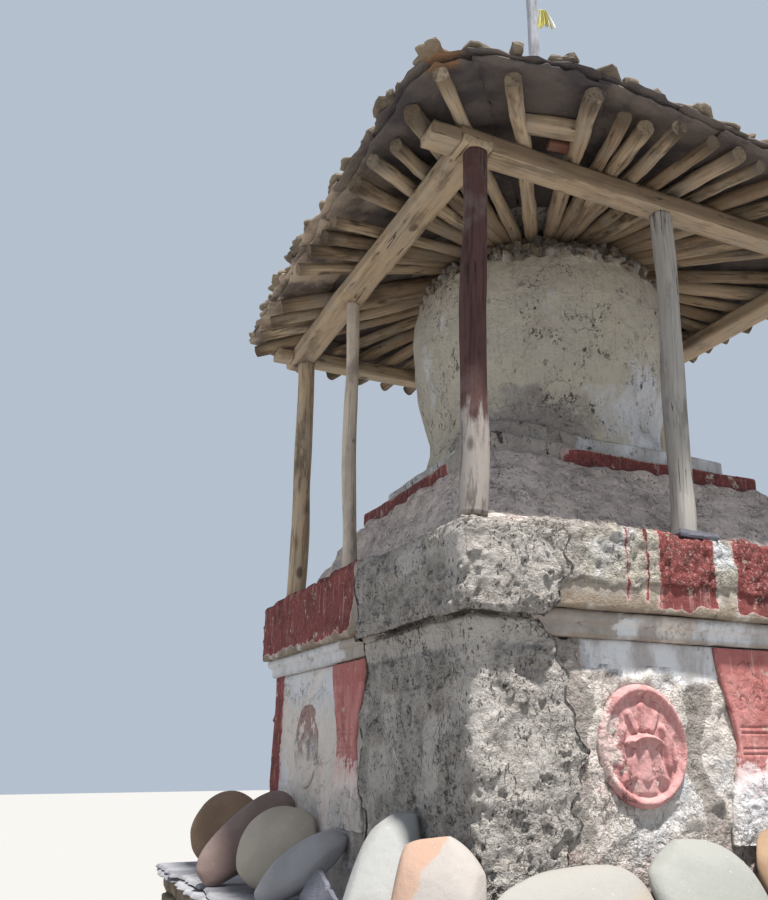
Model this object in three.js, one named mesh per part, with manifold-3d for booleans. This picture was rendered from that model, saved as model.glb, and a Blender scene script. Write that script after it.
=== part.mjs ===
// A mud and stone stupa under a slate canopy that stands on eight timber posts.
// Millimetres, Z up. The origin is on the ground under the middle of the plinth.
// The front face looks along -Y and the left face along -X.

import * as THREE from 'three';
import { mergeVertices } from 'three/addons/utils/BufferGeometryUtils.js';
import Module from 'manifold-3d';

const wasm = await Module();
wasm.setup();

// Driving dimensions: the clearance between touching pieces
const seatGap = 0.3;

// Driving dimensions: plinth and base
const plinthFootHalf = 2140;
const plinthTopHalf = 2090;
const copingHalf = 2150;
const copingUnderside = 745;
const ledgeHeight = 800;
const wallHalf = 1500;
const wallTop = 2050;
const mouldingTop = 2170;
const friezeHalf = 1600;
const friezeTop = 2560;
const cornerPilasterWidth = 200;
const cornerPilasterDepth = 20;
const reliefFoot = 1160;

// Driving dimensions: the rough mud repair round the near corner
const mudEndAlongFront = -1060;
const mudEndAlongLeft = -290;
const mudDepthOnWall = 30;
const mudDepthOnFrieze = 24;

// Driving dimensions: reliefs of the four faces
const medallionRadius = 267;
const medallionHeight = 1590;
const medallionDepth = 30;
const medallionRimWidth = 50;
const pilasterWaistHeight = 1600;
const pilasterDepth = 22;

// Driving dimensions: steps and dome, which stand a little left of and behind the middle
const upperCentre = [-85, 50];
const bankTop = 3088;
const redStepHalf = 974;
const redStepTop = 3205;
const whiteStepHalf = 848;
const whiteStepTop = 3336;
const crownRadius = 720;
const crownHeight = 4800;
const crownCoreRadius = 530;
const crownCoreTop = 4905;

// Driving dimensions: canopy frame
const beamUnderside = 4507;
const beamTop = 4612;
const beamEndDrop = 35;
const frontBeam = { low: -1566, high: -1406, from: -1728, to: 1480 };
const backBeam = { low: 1330, high: 1480, from: -1690, to: 1450 };
const leftBeam = { low: -1566, high: -1380, from: -1566, to: 1560 };
const rightBeam = { low: 1152, high: 1328, from: -1680, to: 1600 };

// Driving dimensions: rafters, as bearings in degrees round the dome and radii
const frontBearings = [-124.9, -115.5, -111, -107.5, -103.5, -97.5, -91.5, -87, -80, -73, -66, -59, -52];
const leftBearings = [139, 146.5, 153.5, 160, 178.5, 185.5, 191, 197, 207, 213, 217.5, 222, 227.5];
const hiddenRafterCount = 12;
const rightFirstBearing = -40;
const backFirstBearing = 50;
const hiddenRafterStep = 7.2;
const rafterRadius = 45;
const rafterRadiusSpread = 6;
const rafterInnerEnd = 560;
const rafterOverhangs = { front: 500, right: 360, back: 360, left: 360 };
const rafterOverhangSpread = 60;
const rafterEdgeMargin = 70;
const packingWidth = 80;
const packingRise = 8;
const sideInset = 0.03;
const fanBounds = { front: [-129, -45], right: [-45, 46], back: [46, 136], left: [136, 231] };

// Driving dimensions: slate roof, earth and finial
const eaveOutline = [
  [-1950, -1720], [-1920, -1860], [-1730, -1960], [-1430, -2090], [-930, -2140], [-450, -2130],
  [30, -2090], [700, -2120], [1300, -2050], [1560, -1800], [1580, -900], [1540, 0],
  [1590, 900], [1560, 1600], [1350, 1800], [400, 1770], [-500, 1800], [-1500, 1780],
  [-1800, 1700], [-1900, 1550], [-1950, 700], [-1980, 0], [-1975, -600], [-1960, -1200],
];
const slateThickness = 90;
const slateThicknessAtEave = 60;
const roofInnerRadius = 540;
const earthTop = 5090;
const finialCentre = [-16, 24];
const harmikaHalf = 430;
const harmikaBandHalf = 450;
const harmikaBandFoot = 5385;
const harmikaTop = 5490;
const capTop = 5600;
const coneTop = 6090;
const mastFoot = 5800;
const mastTop = 7750;
const mastRadius = 48;
const mastTipRadius = 40;

const mud = 0x9a9186;
const whitewash = 0xcfc8ba;
const red = 0x9c3c36;
const rubble = 0x857d74;
const timber = 0x8f7c5f;
const darkTimber = 0x5a3b35;
const bleachedTimber = 0xb5b0a6;
const clothColor = 0xd8d0a0;
const slate = 0x6f6a62;

const stupa = new THREE.Group();

function addPart(name, geometry, color, roughness = 0.95) {
  const material = new THREE.MeshStandardMaterial({ color, roughness, metalness: 0 });
  const mesh = new THREE.Mesh(geometry, material);
  mesh.name = name;
  stupa.add(mesh);
}

function toSolid(geometry) {
  const bare = geometry.clone();
  bare.deleteAttribute('normal');
  bare.deleteAttribute('uv');
  const merged = mergeVertices(bare, 1e-4);
  return new wasm.Manifold(new wasm.Mesh({
    numProp: 3,
    vertProperties: new Float32Array(merged.attributes.position.array),
    triVerts: new Uint32Array(merged.index.array),
  }));
}

function toGeometry(solid) {
  const mesh = solid.getMesh();
  const geometry = new THREE.BufferGeometry();
  geometry.setAttribute('position', new THREE.BufferAttribute(mesh.vertProperties, 3));
  geometry.setIndex(new THREE.BufferAttribute(mesh.triVerts, 1));
  geometry.computeVertexNormals();
  return geometry;
}

function unite(solids) {
  return solids.reduce((sum, next) => sum.add(next));
}

function boxBetween(low, high) {
  const geometry = new THREE.BoxGeometry(high[0] - low[0], high[1] - low[1], high[2] - low[2]);
  return geometry.translate((low[0] + high[0]) / 2, (low[1] + high[1]) / 2, (low[2] + high[2]) / 2);
}

function indexedGeometry(points, faces) {
  const geometry = new THREE.BufferGeometry();
  geometry.setAttribute('position', new THREE.Float32BufferAttribute(points.flat(), 3));
  geometry.setIndex(faces.flat());
  geometry.computeVertexNormals();
  return geometry;
}

// A pile of square cross-sections, each [half width, height], from the lowest to the highest
function squareStack(levels, centre = [0, 0], grow = 0) {
  const points = [];
  const faces = [];
  for (const [half, z, middle = centre] of levels) {
    const reach = half + grow;
    for (const [sx, sy] of [[-1, -1], [1, -1], [1, 1], [-1, 1]]) {
      points.push([middle[0] + sx * reach, middle[1] + sy * reach, z]);
    }
  }
  for (let level = 0; level + 1 < levels.length; level += 1) {
    for (let side = 0; side < 4; side += 1) {
      const a = level * 4 + side;
      const b = level * 4 + (side + 1) % 4;
      faces.push([a, b, b + 4], [a, b + 4, a + 4]);
    }
  }
  const last = points.length - 4;
  faces.push([0, 2, 1], [0, 3, 2], [last, last + 1, last + 2], [last, last + 2, last + 3]);
  return indexedGeometry(points, faces);
}

// A round body from [radius, height] points, standing at a place in plan
function turned(profile, centre, segments) {
  const points = profile.map(([radius, z]) => new THREE.Vector2(radius, z));
  const geometry = new THREE.LatheGeometry(points, segments);
  return geometry.rotateX(Math.PI / 2).translate(centre[0], centre[1], 0);
}

// Plinth of dry stone walling with a slate coping that makes the ledge round the base
addPart('plinth', squareStack([[plinthFootHalf, 0], [plinthTopHalf, copingUnderside - seatGap]]), rubble);
addPart('coping', squareStack([[copingHalf, copingUnderside], [copingHalf, ledgeHeight]]), slate);

// Base: wall, moulding and frieze
const wallLevels = [[wallHalf, ledgeHeight + seatGap], [wallHalf, wallTop]];
const mouldingStep = (wallTop + mouldingTop) / 2;
const lowerCourseHalf = wallHalf + 35;
const upperCourseHalf = wallHalf + 65;
const mouldingLevels = [
  [lowerCourseHalf, wallTop + seatGap],
  [lowerCourseHalf, mouldingStep],
  [upperCourseHalf, mouldingStep],
  [upperCourseHalf, mouldingTop],
];
const friezeLevels = [[friezeHalf, mouldingTop + seatGap], [friezeHalf, friezeTop]];

function baseWall() {
  const inner = wallHalf - cornerPilasterWidth;
  const outer = wallHalf + cornerPilasterDepth;
  const pilasters = [[1, -1], [1, 1], [-1, 1]].map(([sx, sy]) => {
    const low = [Math.min(sx * inner, sx * outer), Math.min(sy * inner, sy * outer), reliefFoot];
    const high = [Math.max(sx * inner, sx * outer), Math.max(sy * inner, sy * outer), wallTop];
    return toSolid(boxBetween(low, high));
  });
  return toGeometry(unite([toSolid(squareStack(wallLevels)), ...pilasters]));
}

addPart('base_wall', baseWall(), whitewash);
addPart('moulding', squareStack(mouldingLevels), whitewash);
addPart('frieze', squareStack(friezeLevels), red);

// Mud repair: a skin round the near corner, from the ledge to just below the frieze's top edge
function mudRepair() {
  const onWall = wallHalf + mudDepthOnWall;
  const onFrieze = friezeHalf + mudDepthOnFrieze;
  const skin = toSolid(squareStack([
    [onWall, ledgeHeight + seatGap],
    [onWall + 5, wallTop - 40],
    [onWall + 45, wallTop + 50],
    [onFrieze, mouldingTop - 20],
    [onFrieze, friezeTop - 90],
    [friezeHalf + 8, friezeTop - 40],
  ]));
  const far = friezeHalf + 200;
  const inside = wallHalf - 200;
  const alongFront = toSolid(boxBetween([-far, -far, 0], [mudEndAlongFront, -inside, friezeTop]));
  const alongLeft = toSolid(boxBetween([-far, -far, 0], [-inside, mudEndAlongLeft, friezeTop]));
  const masonry = [wallLevels, mouldingLevels, friezeLevels].map((levels) => {
    const first = [levels[0][0], levels[0][1] - 2 * seatGap];
    return toSolid(squareStack([first, ...levels.slice(1)], [0, 0], seatGap));
  });
  return toGeometry(skin.intersect(alongFront.add(alongLeft)).subtract(unite(masonry)));
}

addPart('mud_repair', mudRepair(), mud);

// Reliefs: each face has its own frame, along it to a viewer's right, up and outwards
const faces = {
  front: { along: [1, 0, 0], out: [0, -1, 0], medallions: [-660, 700], top: 190, waist: 105 },
  right: { along: [0, 1, 0], out: [1, 0, 0], medallions: [-700, 700], top: 210, waist: 115 },
  back: { along: [-1, 0, 0], out: [0, 1, 0], medallions: [-700, 700], top: 210, waist: 115 },
  left: { along: [0, -1, 0], out: [-1, 0, 0], medallions: [-748], top: 260, waist: 140 },
};

function ontoFace(geometry, face) {
  const along = new THREE.Vector3(...face.along);
  const up = new THREE.Vector3(0, 0, 1);
  const out = new THREE.Vector3(...face.out);
  const frame = new THREE.Matrix4().makeBasis(along, up, out);
  const seat = out.clone().multiplyScalar(wallHalf + seatGap);
  return geometry.applyMatrix4(frame).translate(seat.x, seat.y, seat.z);
}

function medallion() {
  const rim = medallionRadius - medallionRimWidth;
  const profile = [
    [0, 0], [medallionRadius, 0], [medallionRadius, medallionDepth],
    [rim, medallionDepth], [rim - 10, medallionDepth / 2], [0, medallionDepth / 2],
  ];
  const points = profile.map(([radius, depth]) => new THREE.Vector2(radius, depth));
  return new THREE.LatheGeometry(points, 28).rotateX(Math.PI / 2);
}

function hourglass(topHalf, waistHalf) {
  const top = wallTop - 10;
  const shape = new THREE.Shape();
  shape.moveTo(-topHalf, reliefFoot);
  shape.lineTo(topHalf, reliefFoot);
  shape.quadraticCurveTo(waistHalf, (reliefFoot + pilasterWaistHeight) / 2, waistHalf, pilasterWaistHeight);
  shape.quadraticCurveTo(waistHalf, (top + pilasterWaistHeight) / 2, topHalf, top);
  shape.lineTo(-topHalf, top);
  shape.quadraticCurveTo(-waistHalf, (top + pilasterWaistHeight) / 2, -waistHalf, pilasterWaistHeight);
  shape.quadraticCurveTo(-waistHalf, (reliefFoot + pilasterWaistHeight) / 2, -topHalf, reliefFoot);
  return new THREE.ExtrudeGeometry(shape, { depth: pilasterDepth, bevelEnabled: false, curveSegments: 6 });
}

for (const [faceName, face] of Object.entries(faces)) {
  for (const offset of face.medallions) {
    const side = offset < 0 ? 'left' : 'right';
    const disc = medallion().translate(offset, medallionHeight, 0);
    addPart(`medallion_${faceName}_${side}`, ontoFace(disc, face), red);
  }
  addPart(`pilaster_${faceName}`, ontoFace(hourglass(face.top, face.waist), face), red);
}

// Posts: name, places of foot and head in plan, foot radius, head radius and sides
const posts = [
  ['post_near_corner', [-1491, -1477], [-1455, -1495], 66, 62, 8],
  ['post_front_middle', [-267, -1458], [-221, -1480], 54, 50, 8],
  ['post_front_right', [1252, -1478], [1240, -1486], 62, 58, 10],
  ['post_right_middle', [1228, 362], [1240, 350], 50, 46, 10],
  ['post_back_right', [1252, 1394], [1240, 1405], 62, 58, 10],
  ['post_back_middle', [-104, 1396], [-120, 1405], 50, 46, 10],
  ['post_back_left', [-1431, 1391], [-1442, 1397], 68, 64, 10],
  ['post_left_middle', [-1429, 278], [-1455, 290], 46, 43, 10],
];
const postFoot = friezeTop + seatGap;
const postHead = beamUnderside - seatGap;

function post([, foot, head, footRadius, headRadius, sides], grow = 0) {
  const height = postHead - postFoot;
  const geometry = new THREE.CylinderGeometry(headRadius + grow, footRadius + grow, height, sides);
  geometry.rotateX(Math.PI / 2).translate(0, 0, height / 2);
  const [leanX, leanY] = [0, 1].map((axis) => (head[axis] - foot[axis]) / height);
  return geometry.applyMatrix4(new THREE.Matrix4().set(
    1, 0, leanX, foot[0],
    0, 1, leanY, foot[1],
    0, 0, 1, postFoot,
    0, 0, 0, 1,
  ));
}

for (const row of posts) {
  addPart(row[0], post(row), row[0] === 'post_near_corner' ? darkTimber : timber);
}

// Bank of mud round the posts' feet, then the two painted steps
function bank() {
  const levels = [
    [friezeHalf - 90, friezeTop + seatGap, [0, 0]],
    [friezeHalf - 120, friezeTop + 45, [0, 0]],
    [redStepHalf + 40, bankTop - seatGap, upperCentre],
  ];
  const feet = unite(posts.map((row) => {
    return toSolid(post(row, 4 * seatGap).translate(0, 0, -2 * seatGap));
  }));
  return toGeometry(toSolid(squareStack(levels)).subtract(feet));
}

addPart('mud_bank', bank(), mud);
addPart('red_step', squareStack([[redStepHalf, bankTop], [redStepHalf, redStepTop]], upperCentre), red);
addPart('white_step', squareStack([
  [whiteStepHalf + 60, redStepTop + seatGap],
  [whiteStepHalf, redStepTop + 35],
  [whiteStepHalf, whiteStepTop],
], upperCentre), whitewash);

// Dome: a bulb that narrows to its foot, with a rough crown that carries the rafters' inner ends
addPart('dome', turned([
  [0, whiteStepTop + seatGap], [840, whiteStepTop + seatGap], [832, 3400], [800, 3500], [795, 3600],
  [840, 3740], [885, 3920], [912, 4120], [922, 4340], [905, 4500], [865, 4640], [795, 4745],
  [crownRadius, crownHeight], [crownCoreRadius, crownHeight],
  [crownCoreRadius, crownCoreTop], [0, crownCoreTop],
], upperCentre, 36), whitewash);

// Beams: the front and back ones lie half-lapped over the left and right ones
const lapHeight = (beamUnderside + beamTop) / 2;
const crossBeams = { front: frontBeam, back: backBeam };
const sideBeams = { left: leftBeam, right: rightBeam };

function crossBeam(beam) {
  let solid = toSolid(boxBetween([beam.from, beam.low, beamUnderside], [beam.to, beam.high, beamTop]));
  for (const side of Object.values(sideBeams)) {
    const lap = boxBetween(
      [side.low - seatGap, beam.low - 1, beamUnderside - 1],
      [side.high + seatGap, beam.high + 1, lapHeight + seatGap],
    );
    solid = solid.subtract(toSolid(lap));
  }
  const reach = 1000;
  for (const [from, to] of [[leftBeam.low - reach, leftBeam.low], [rightBeam.high, rightBeam.high + reach]]) {
    const trim = boxBetween([from, beam.low - 1, beamTop - beamEndDrop], [to, beam.high + 1, beamTop + 1]);
    solid = solid.subtract(toSolid(trim));
  }
  return toGeometry(solid);
}

function sideBeam(beam) {
  let solid = toSolid(boxBetween([beam.low, beam.from, beamUnderside], [beam.high, beam.to, beamTop]));
  for (const cross of Object.values(crossBeams)) {
    const lap = boxBetween(
      [beam.low - 1, cross.low - seatGap, lapHeight],
      [beam.high + 1, cross.high + seatGap, beamTop + 1],
    );
    solid = solid.subtract(toSolid(lap));
  }
  const reach = 1000;
  for (const [from, to] of [[frontBeam.low - reach, frontBeam.low], [backBeam.high, backBeam.high + reach]]) {
    const trim = boxBetween([beam.low - 1, from, beamTop - beamEndDrop], [beam.high + 1, to, beamTop + 1]);
    solid = solid.subtract(toSolid(trim));
  }
  return toGeometry(solid);
}

addPart('beam_front', crossBeam(frontBeam), timber);
addPart('beam_back', crossBeam(backBeam), timber);
addPart('beam_left', sideBeam(leftBeam), timber);
addPart('beam_right', sideBeam(rightBeam), timber);

// Canopy geometry in polar form round the dome's axis
const beamRing = [
  [leftBeam.low, frontBeam.low], [rightBeam.high, frontBeam.low],
  [rightBeam.high, backBeam.high], [leftBeam.low, backBeam.high],
];

function direction(bearing) {
  const angle = THREE.MathUtils.degToRad(bearing);
  return [Math.cos(angle), Math.sin(angle)];
}

// Distance from the dome's axis to a closed outline along a bearing
function reachTo(outline, bearing) {
  const [dx, dy] = direction(bearing);
  let farthest = 0;
  outline.forEach((start, index) => {
    const end = outline[(index + 1) % outline.length];
    const [ex, ey] = [end[0] - start[0], end[1] - start[1]];
    const [sx, sy] = [start[0] - upperCentre[0], start[1] - upperCentre[1]];
    const across = dx * ey - dy * ex;
    const distance = (sx * ey - sy * ex) / across;
    const fraction = (sx * dy - sy * dx) / across;
    if (distance > 0 && fraction >= -1e-9 && fraction <= 1 + 1e-9) {
      farthest = Math.max(farthest, distance);
    }
  });
  return farthest;
}

// Height of the rafters' undersides: from the crown's rim down to the beams' outer top edge
function fallPerMetre(bearing) {
  return (crownHeight - beamTop) / (reachTo(beamRing, bearing) - crownRadius);
}

function undersideHeight(bearing, radius) {
  return crownHeight + 2 * seatGap - (radius - crownRadius) * fallPerMetre(bearing);
}

function steepness(bearing) {
  return Math.hypot(1, fallPerMetre(bearing));
}

function polarPoint(bearing, radius, z) {
  const [dx, dy] = direction(bearing);
  return [upperCentre[0] + dx * radius, upperCentre[1] + dy * radius, z];
}

// A closed slab over a fan of bearings, with rows of [radius, low, high] from the axis outwards
function polarSlab(bearings, rowsAt) {
  const columns = bearings.map((bearing) => rowsAt(bearing).map(([radius, low, high]) => {
    return [polarPoint(bearing, radius, low), polarPoint(bearing, radius, high)];
  }));
  const rowCount = columns[0].length;
  const points = columns.flat(2);
  const faceList = [];
  const at = (column, row, level) => (column * rowCount + row) * 2 + level;
  const quad = (a, b, c, d) => faceList.push([a, b, c], [a, c, d]);
  for (let column = 0; column + 1 < bearings.length; column += 1) {
    for (let row = 0; row + 1 < rowCount; row += 1) {
      quad(at(column, row, 1), at(column, row + 1, 1), at(column + 1, row + 1, 1), at(column + 1, row, 1));
      quad(at(column, row, 0), at(column + 1, row, 0), at(column + 1, row + 1, 0), at(column, row + 1, 0));
    }
    const last = rowCount - 1;
    quad(at(column, 0, 0), at(column, 0, 1), at(column + 1, 0, 1), at(column + 1, 0, 0));
    quad(at(column, last, 0), at(column + 1, last, 0), at(column + 1, last, 1), at(column, last, 1));
  }
  const end = bearings.length - 1;
  for (let row = 0; row + 1 < rowCount; row += 1) {
    quad(at(0, row, 0), at(0, row + 1, 0), at(0, row + 1, 1), at(0, row, 1));
    quad(at(end, row, 0), at(end, row, 1), at(end, row + 1, 1), at(end, row + 1, 0));
  }
  return indexedGeometry(points, faceList);
}

// One round rafter with a corner of its section straight down, so that it rests on a line
function rafter(bearing, index, overhangOfSide) {
  const radius = rafterRadius + rafterRadiusSpread * Math.sin(index * 2.4);
  const overhang = overhangOfSide + rafterOverhangSpread * Math.sin(index * 1.7);
  const underEave = reachTo(eaveOutline, bearing) - rafterEdgeMargin;
  const outer = Math.min(reachTo(beamRing, bearing) + overhang, underEave);
  const rise = radius * steepness(bearing);
  const [start, end] = [rafterInnerEnd, outer].map((distance) => {
    return new THREE.Vector3(...polarPoint(bearing, distance, undersideHeight(bearing, distance) + rise));
  });
  const axis = end.clone().sub(start);
  const [dx, dy] = direction(bearing);
  const across = new THREE.Vector3(-dy, dx, 0);
  const along = axis.clone().normalize();
  const frame = new THREE.Matrix4().makeBasis(across, along, across.clone().cross(along));
  const middle = start.clone().add(end).multiplyScalar(0.5);
  const pole = new THREE.CylinderGeometry(radius, radius, axis.length(), 8);
  return pole.applyMatrix4(frame).translate(middle.x, middle.y, middle.z);
}

// The space over one side of the roof, held back from the next side's by a sliver of an angle
function wedge([from, to]) {
  const rows = [1, 2 * copingHalf].map((radius) => [radius, beamUnderside - 500, earthTop + 500]);
  return polarSlab([from + sideInset, (from + to) / 2, to - sideInset], () => rows);
}

// Rafters of one side, joined at their inner ends by the mud and stone packed between them
function rafterFan(bounds, bearings, firstIndex, overhang) {
  const packing = polarSlab([bounds[0], ...bearings, bounds[1]], (bearing) => {
    return [rafterInnerEnd + 5, rafterInnerEnd + packingWidth].map((radius) => {
      const low = undersideHeight(bearing, radius) + packingRise;
      return [radius, low, low + rafterRadius];
    });
  });
  const poles = bearings.map((bearing, index) => toSolid(rafter(bearing, firstIndex + index, overhang)));
  return toGeometry(unite([toSolid(packing), ...poles]).intersect(toSolid(wedge(bounds))));
}

function evenBearings(first) {
  return Array.from({ length: hiddenRafterCount }, (_, index) => first + index * hiddenRafterStep);
}

const bearingsOfSide = {
  front: frontBearings,
  right: evenBearings(rightFirstBearing),
  back: evenBearings(backFirstBearing),
  left: leftBearings,
};

// Slates and their mud bed over one side, resting on the thickest rafters
function slateBed(bounds, bearings, inset = sideInset, innerRadius = roofInnerRadius) {
  const deepest = 2 * (rafterRadius + rafterRadiusSpread);
  return polarSlab([bounds[0] + inset, ...bearings, bounds[1] - inset], (bearing) => {
    const eave = reachTo(eaveOutline, bearing);
    return [innerRadius, crownRadius, eave].map((radius) => {
      const low = undersideHeight(bearing, radius) + deepest * steepness(bearing) + seatGap;
      const thickness = radius === eave ? slateThicknessAtEave : slateThickness;
      return [radius, low, low + thickness];
    });
  });
}

const bedCutters = [];
let rafterIndex = 0;
for (const [side, bounds] of Object.entries(fanBounds)) {
  const bearings = bearingsOfSide[side];
  addPart(`rafters_${side}`, rafterFan(bounds, bearings, rafterIndex, rafterOverhangs[side]), timber);
  rafterIndex += bearings.length;
  const bed = slateBed(bounds, bearings);
  const cutter = slateBed(bounds, bearings, -0.05, roofInnerRadius - seatGap);
  bedCutters.push(toSolid(cutter.translate(0, 0, seatGap)));
  addPart(`slates_${side}`, bed, slate);
}

// Earth heaped over the crown and the slates' inner edges
function roofEarth() {
  const heap = turned([
    [0, crownCoreTop + seatGap], [crownCoreRadius, crownCoreTop + seatGap], [crownCoreRadius + 1, 4960],
    [1000, 4895], [1005, 4962], [940, 5005], [640, earthTop - 15], [520, earthTop], [0, earthTop],
  ], upperCentre, 16);
  return toGeometry(toSolid(heap).subtract(unite(bedCutters)));
}

addPart('roof_earth', roofEarth(), mud);

// Finial: whitewashed box with a red band, slate courses, a rough cone and the mast
addPart('harmika', squareStack([
  [harmikaHalf, earthTop + seatGap],
  [harmikaHalf, harmikaBandFoot],
  [harmikaBandHalf, harmikaBandFoot],
  [harmikaBandHalf, harmikaTop],
], finialCentre), whitewash);
addPart('harmika_cap', squareStack([
  [harmikaBandHalf + 70, harmikaTop + seatGap],
  [harmikaBandHalf + 70, harmikaTop + 55],
  [harmikaBandHalf - 20, harmikaTop + 55],
  [harmikaBandHalf - 20, capTop],
], finialCentre), slate);
addPart('finial_cone', turned([
  [0, capTop + seatGap], [285, capTop + seatGap], [292, capTop + 80], [250, 5850], [170, 6000],
  [110, coneTop], [mastRadius + 1, coneTop], [mastRadius + 1, mastFoot], [0, mastFoot],
], finialCentre, 16), whitewash);

const mastSides = 8;
const mastHeight = mastTop - mastFoot - seatGap;
const mast = new THREE.CylinderGeometry(mastTipRadius, mastRadius, mastHeight, mastSides);
mast.rotateX(Math.PI / 2).translate(finialCentre[0], finialCentre[1], mastFoot + seatGap + mastHeight / 2);
addPart('mast', mast, bleachedTimber);

// Rag tied to the mast near its top, against one of the mast's flats
const cloth = { width: 150, thickness: 30, height: 190, middle: 7455 };
const clothFoot = cloth.middle - cloth.height / 2;
const mastRadiusAtCloth = mastTipRadius + (mastRadius - mastTipRadius) * (mastTop - clothFoot) / mastHeight;
const clothSeat = mastRadiusAtCloth * Math.cos(Math.PI / mastSides) + seatGap;
const rag = new THREE.BoxGeometry(cloth.width, cloth.thickness, cloth.height);
rag.translate(clothSeat + cloth.width / 2, 0, 0).rotateZ(-Math.PI / mastSides);
addPart('mast_cloth', rag.translate(finialCentre[0], finialCentre[1], cloth.middle), clothColor, 1);

// River stones that lean on the base from the ledge: place along the wall, which runs along Y on
// the left and X in front, then half height, width and thickness. Lean is back from upright, tilt
// is in the stone's own plane, and turn is about Z from facing the front.
const stones = [
  ['stone_brown_far', 'left', 1830, [255, 235, 88], 24, 25, -29, 0x8a6a4c],
  ['stone_mauve', 'left', 905, [355, 155, 80], 24, 46, -14, 0x8a726a],
  ['stone_grey_round', 'left', 525, [243, 253, 79], 25, 12, -43, 0x98907c],
  ['stone_grey_long', 'left', 40, [278, 130, 72], 38, 45, -57, 0x8d8a84],
  ['stone_light_tall', 'left', -1075, [341, 147, 82], 42, 1, -50, 0xa8a59c],
  ['stone_peach', 'left', -1513, [234, 191, 80], 25, -5, -43, 0xc09c82],
  ['stone_cream', 'front', -1180, [185, 395, 88], 38, -8, -2, 0xc2b49c],
  ['stone_green_grey', 'front', -506, [241, 308, 88], 37, 3, 8, 0xa9a998],
  ['stone_brown', 'front', 55, [256, 240, 86], 35, -10, -6, 0x9a7f60],
];

function riverStone(side, place, halves, lean, tilt, turn) {
  const [halfHeight, halfWidth, halfDepth] = halves;
  const stone = new THREE.SphereGeometry(1, 12, 8).scale(halfWidth, halfDepth, halfHeight);
  stone.rotateY(THREE.MathUtils.degToRad(tilt));
  stone.rotateX(-THREE.MathUtils.degToRad(lean));
  stone.rotateZ(THREE.MathUtils.degToRad(turn));
  stone.computeBoundingBox();
  const { min, max } = stone.boundingBox;
  const muddy = side === 'left' ? place < mudEndAlongLeft : place < mudEndAlongFront;
  const wallFace = wallHalf + 2 * seatGap + (muddy ? mudDepthOnWall + 5 : pilasterDepth);
  const lift = ledgeHeight + seatGap - min.z;
  if (side === 'left') {
    return stone.translate(-wallFace - max.x, place, lift);
  }
  return stone.translate(place, -wallFace - max.y, lift);
}

for (const [name, side, place, halves, lean, tilt, turn, color] of stones) {
  addPart(name, riverStone(side, place, halves, lean, tilt, turn), color, 0.8);
}

export default stupa;
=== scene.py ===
# Looks of the stupa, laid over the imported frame. Metres, Z up, front face towards -Y.
import itertools
import math

import bpy
import numpy as np
from mathutils import Matrix, Vector


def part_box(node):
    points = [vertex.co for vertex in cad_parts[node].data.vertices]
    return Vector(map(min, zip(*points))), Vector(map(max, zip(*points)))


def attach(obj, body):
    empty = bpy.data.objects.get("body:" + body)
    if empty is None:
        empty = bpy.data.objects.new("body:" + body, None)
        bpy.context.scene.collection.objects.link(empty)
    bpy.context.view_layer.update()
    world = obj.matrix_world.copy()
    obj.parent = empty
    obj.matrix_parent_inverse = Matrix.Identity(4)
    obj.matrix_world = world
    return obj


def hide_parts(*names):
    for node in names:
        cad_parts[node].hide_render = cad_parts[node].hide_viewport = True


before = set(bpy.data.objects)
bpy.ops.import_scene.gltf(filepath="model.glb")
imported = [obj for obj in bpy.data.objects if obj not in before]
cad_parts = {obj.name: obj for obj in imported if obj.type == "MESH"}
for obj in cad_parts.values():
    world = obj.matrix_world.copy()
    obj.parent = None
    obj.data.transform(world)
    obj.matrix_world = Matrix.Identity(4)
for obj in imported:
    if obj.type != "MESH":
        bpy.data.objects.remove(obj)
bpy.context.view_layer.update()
scene = bpy.context.scene

# Camera, at the eye of someone standing by the near corner
camera = {
    "place": (-3.286, -4.777, 1.580),
    "yaw": 25.143,
    "pitch": 19.036,
    "roll": 0.18,
    "lens": 34.45,
    "sensor": 36,
    "shiftX": -0.0438,
    "clipEnd": 200,
}


def placeCamera():
    data = bpy.data.cameras.new("camera")
    data.lens = camera["lens"]
    data.sensor_width = camera["sensor"]
    data.shift_x = camera["shiftX"]
    data.clip_end = camera["clipEnd"]
    eye = bpy.data.objects.new("camera", data)
    scene.collection.objects.link(eye)
    turn = Matrix.Rotation(math.radians(-camera["yaw"]), 4, "Z")
    tilt = Matrix.Rotation(math.radians(90 + camera["pitch"]), 4, "X")
    roll = Matrix.Rotation(math.radians(camera["roll"]), 4, "Z")
    eye.matrix_world = Matrix.Translation(camera["place"]) @ turn @ tilt @ roll
    scene.camera = eye


light = {
    "sunStrength": 7.9,
    "sunSoftness": 3.0,  # degrees
    "towardsSun": (0.015, -0.325, 0.946),
    "sunColor": (1.0, 0.975, 0.935),
    "skyColor": (0.77, 0.88, 1.03),
    "skyStrength": 0.60,
    "floorSize": 60,
    "floorColor": (0.33, 0.32, 0.305, 1),
    "floorRoughness": 0.9,
}


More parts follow.
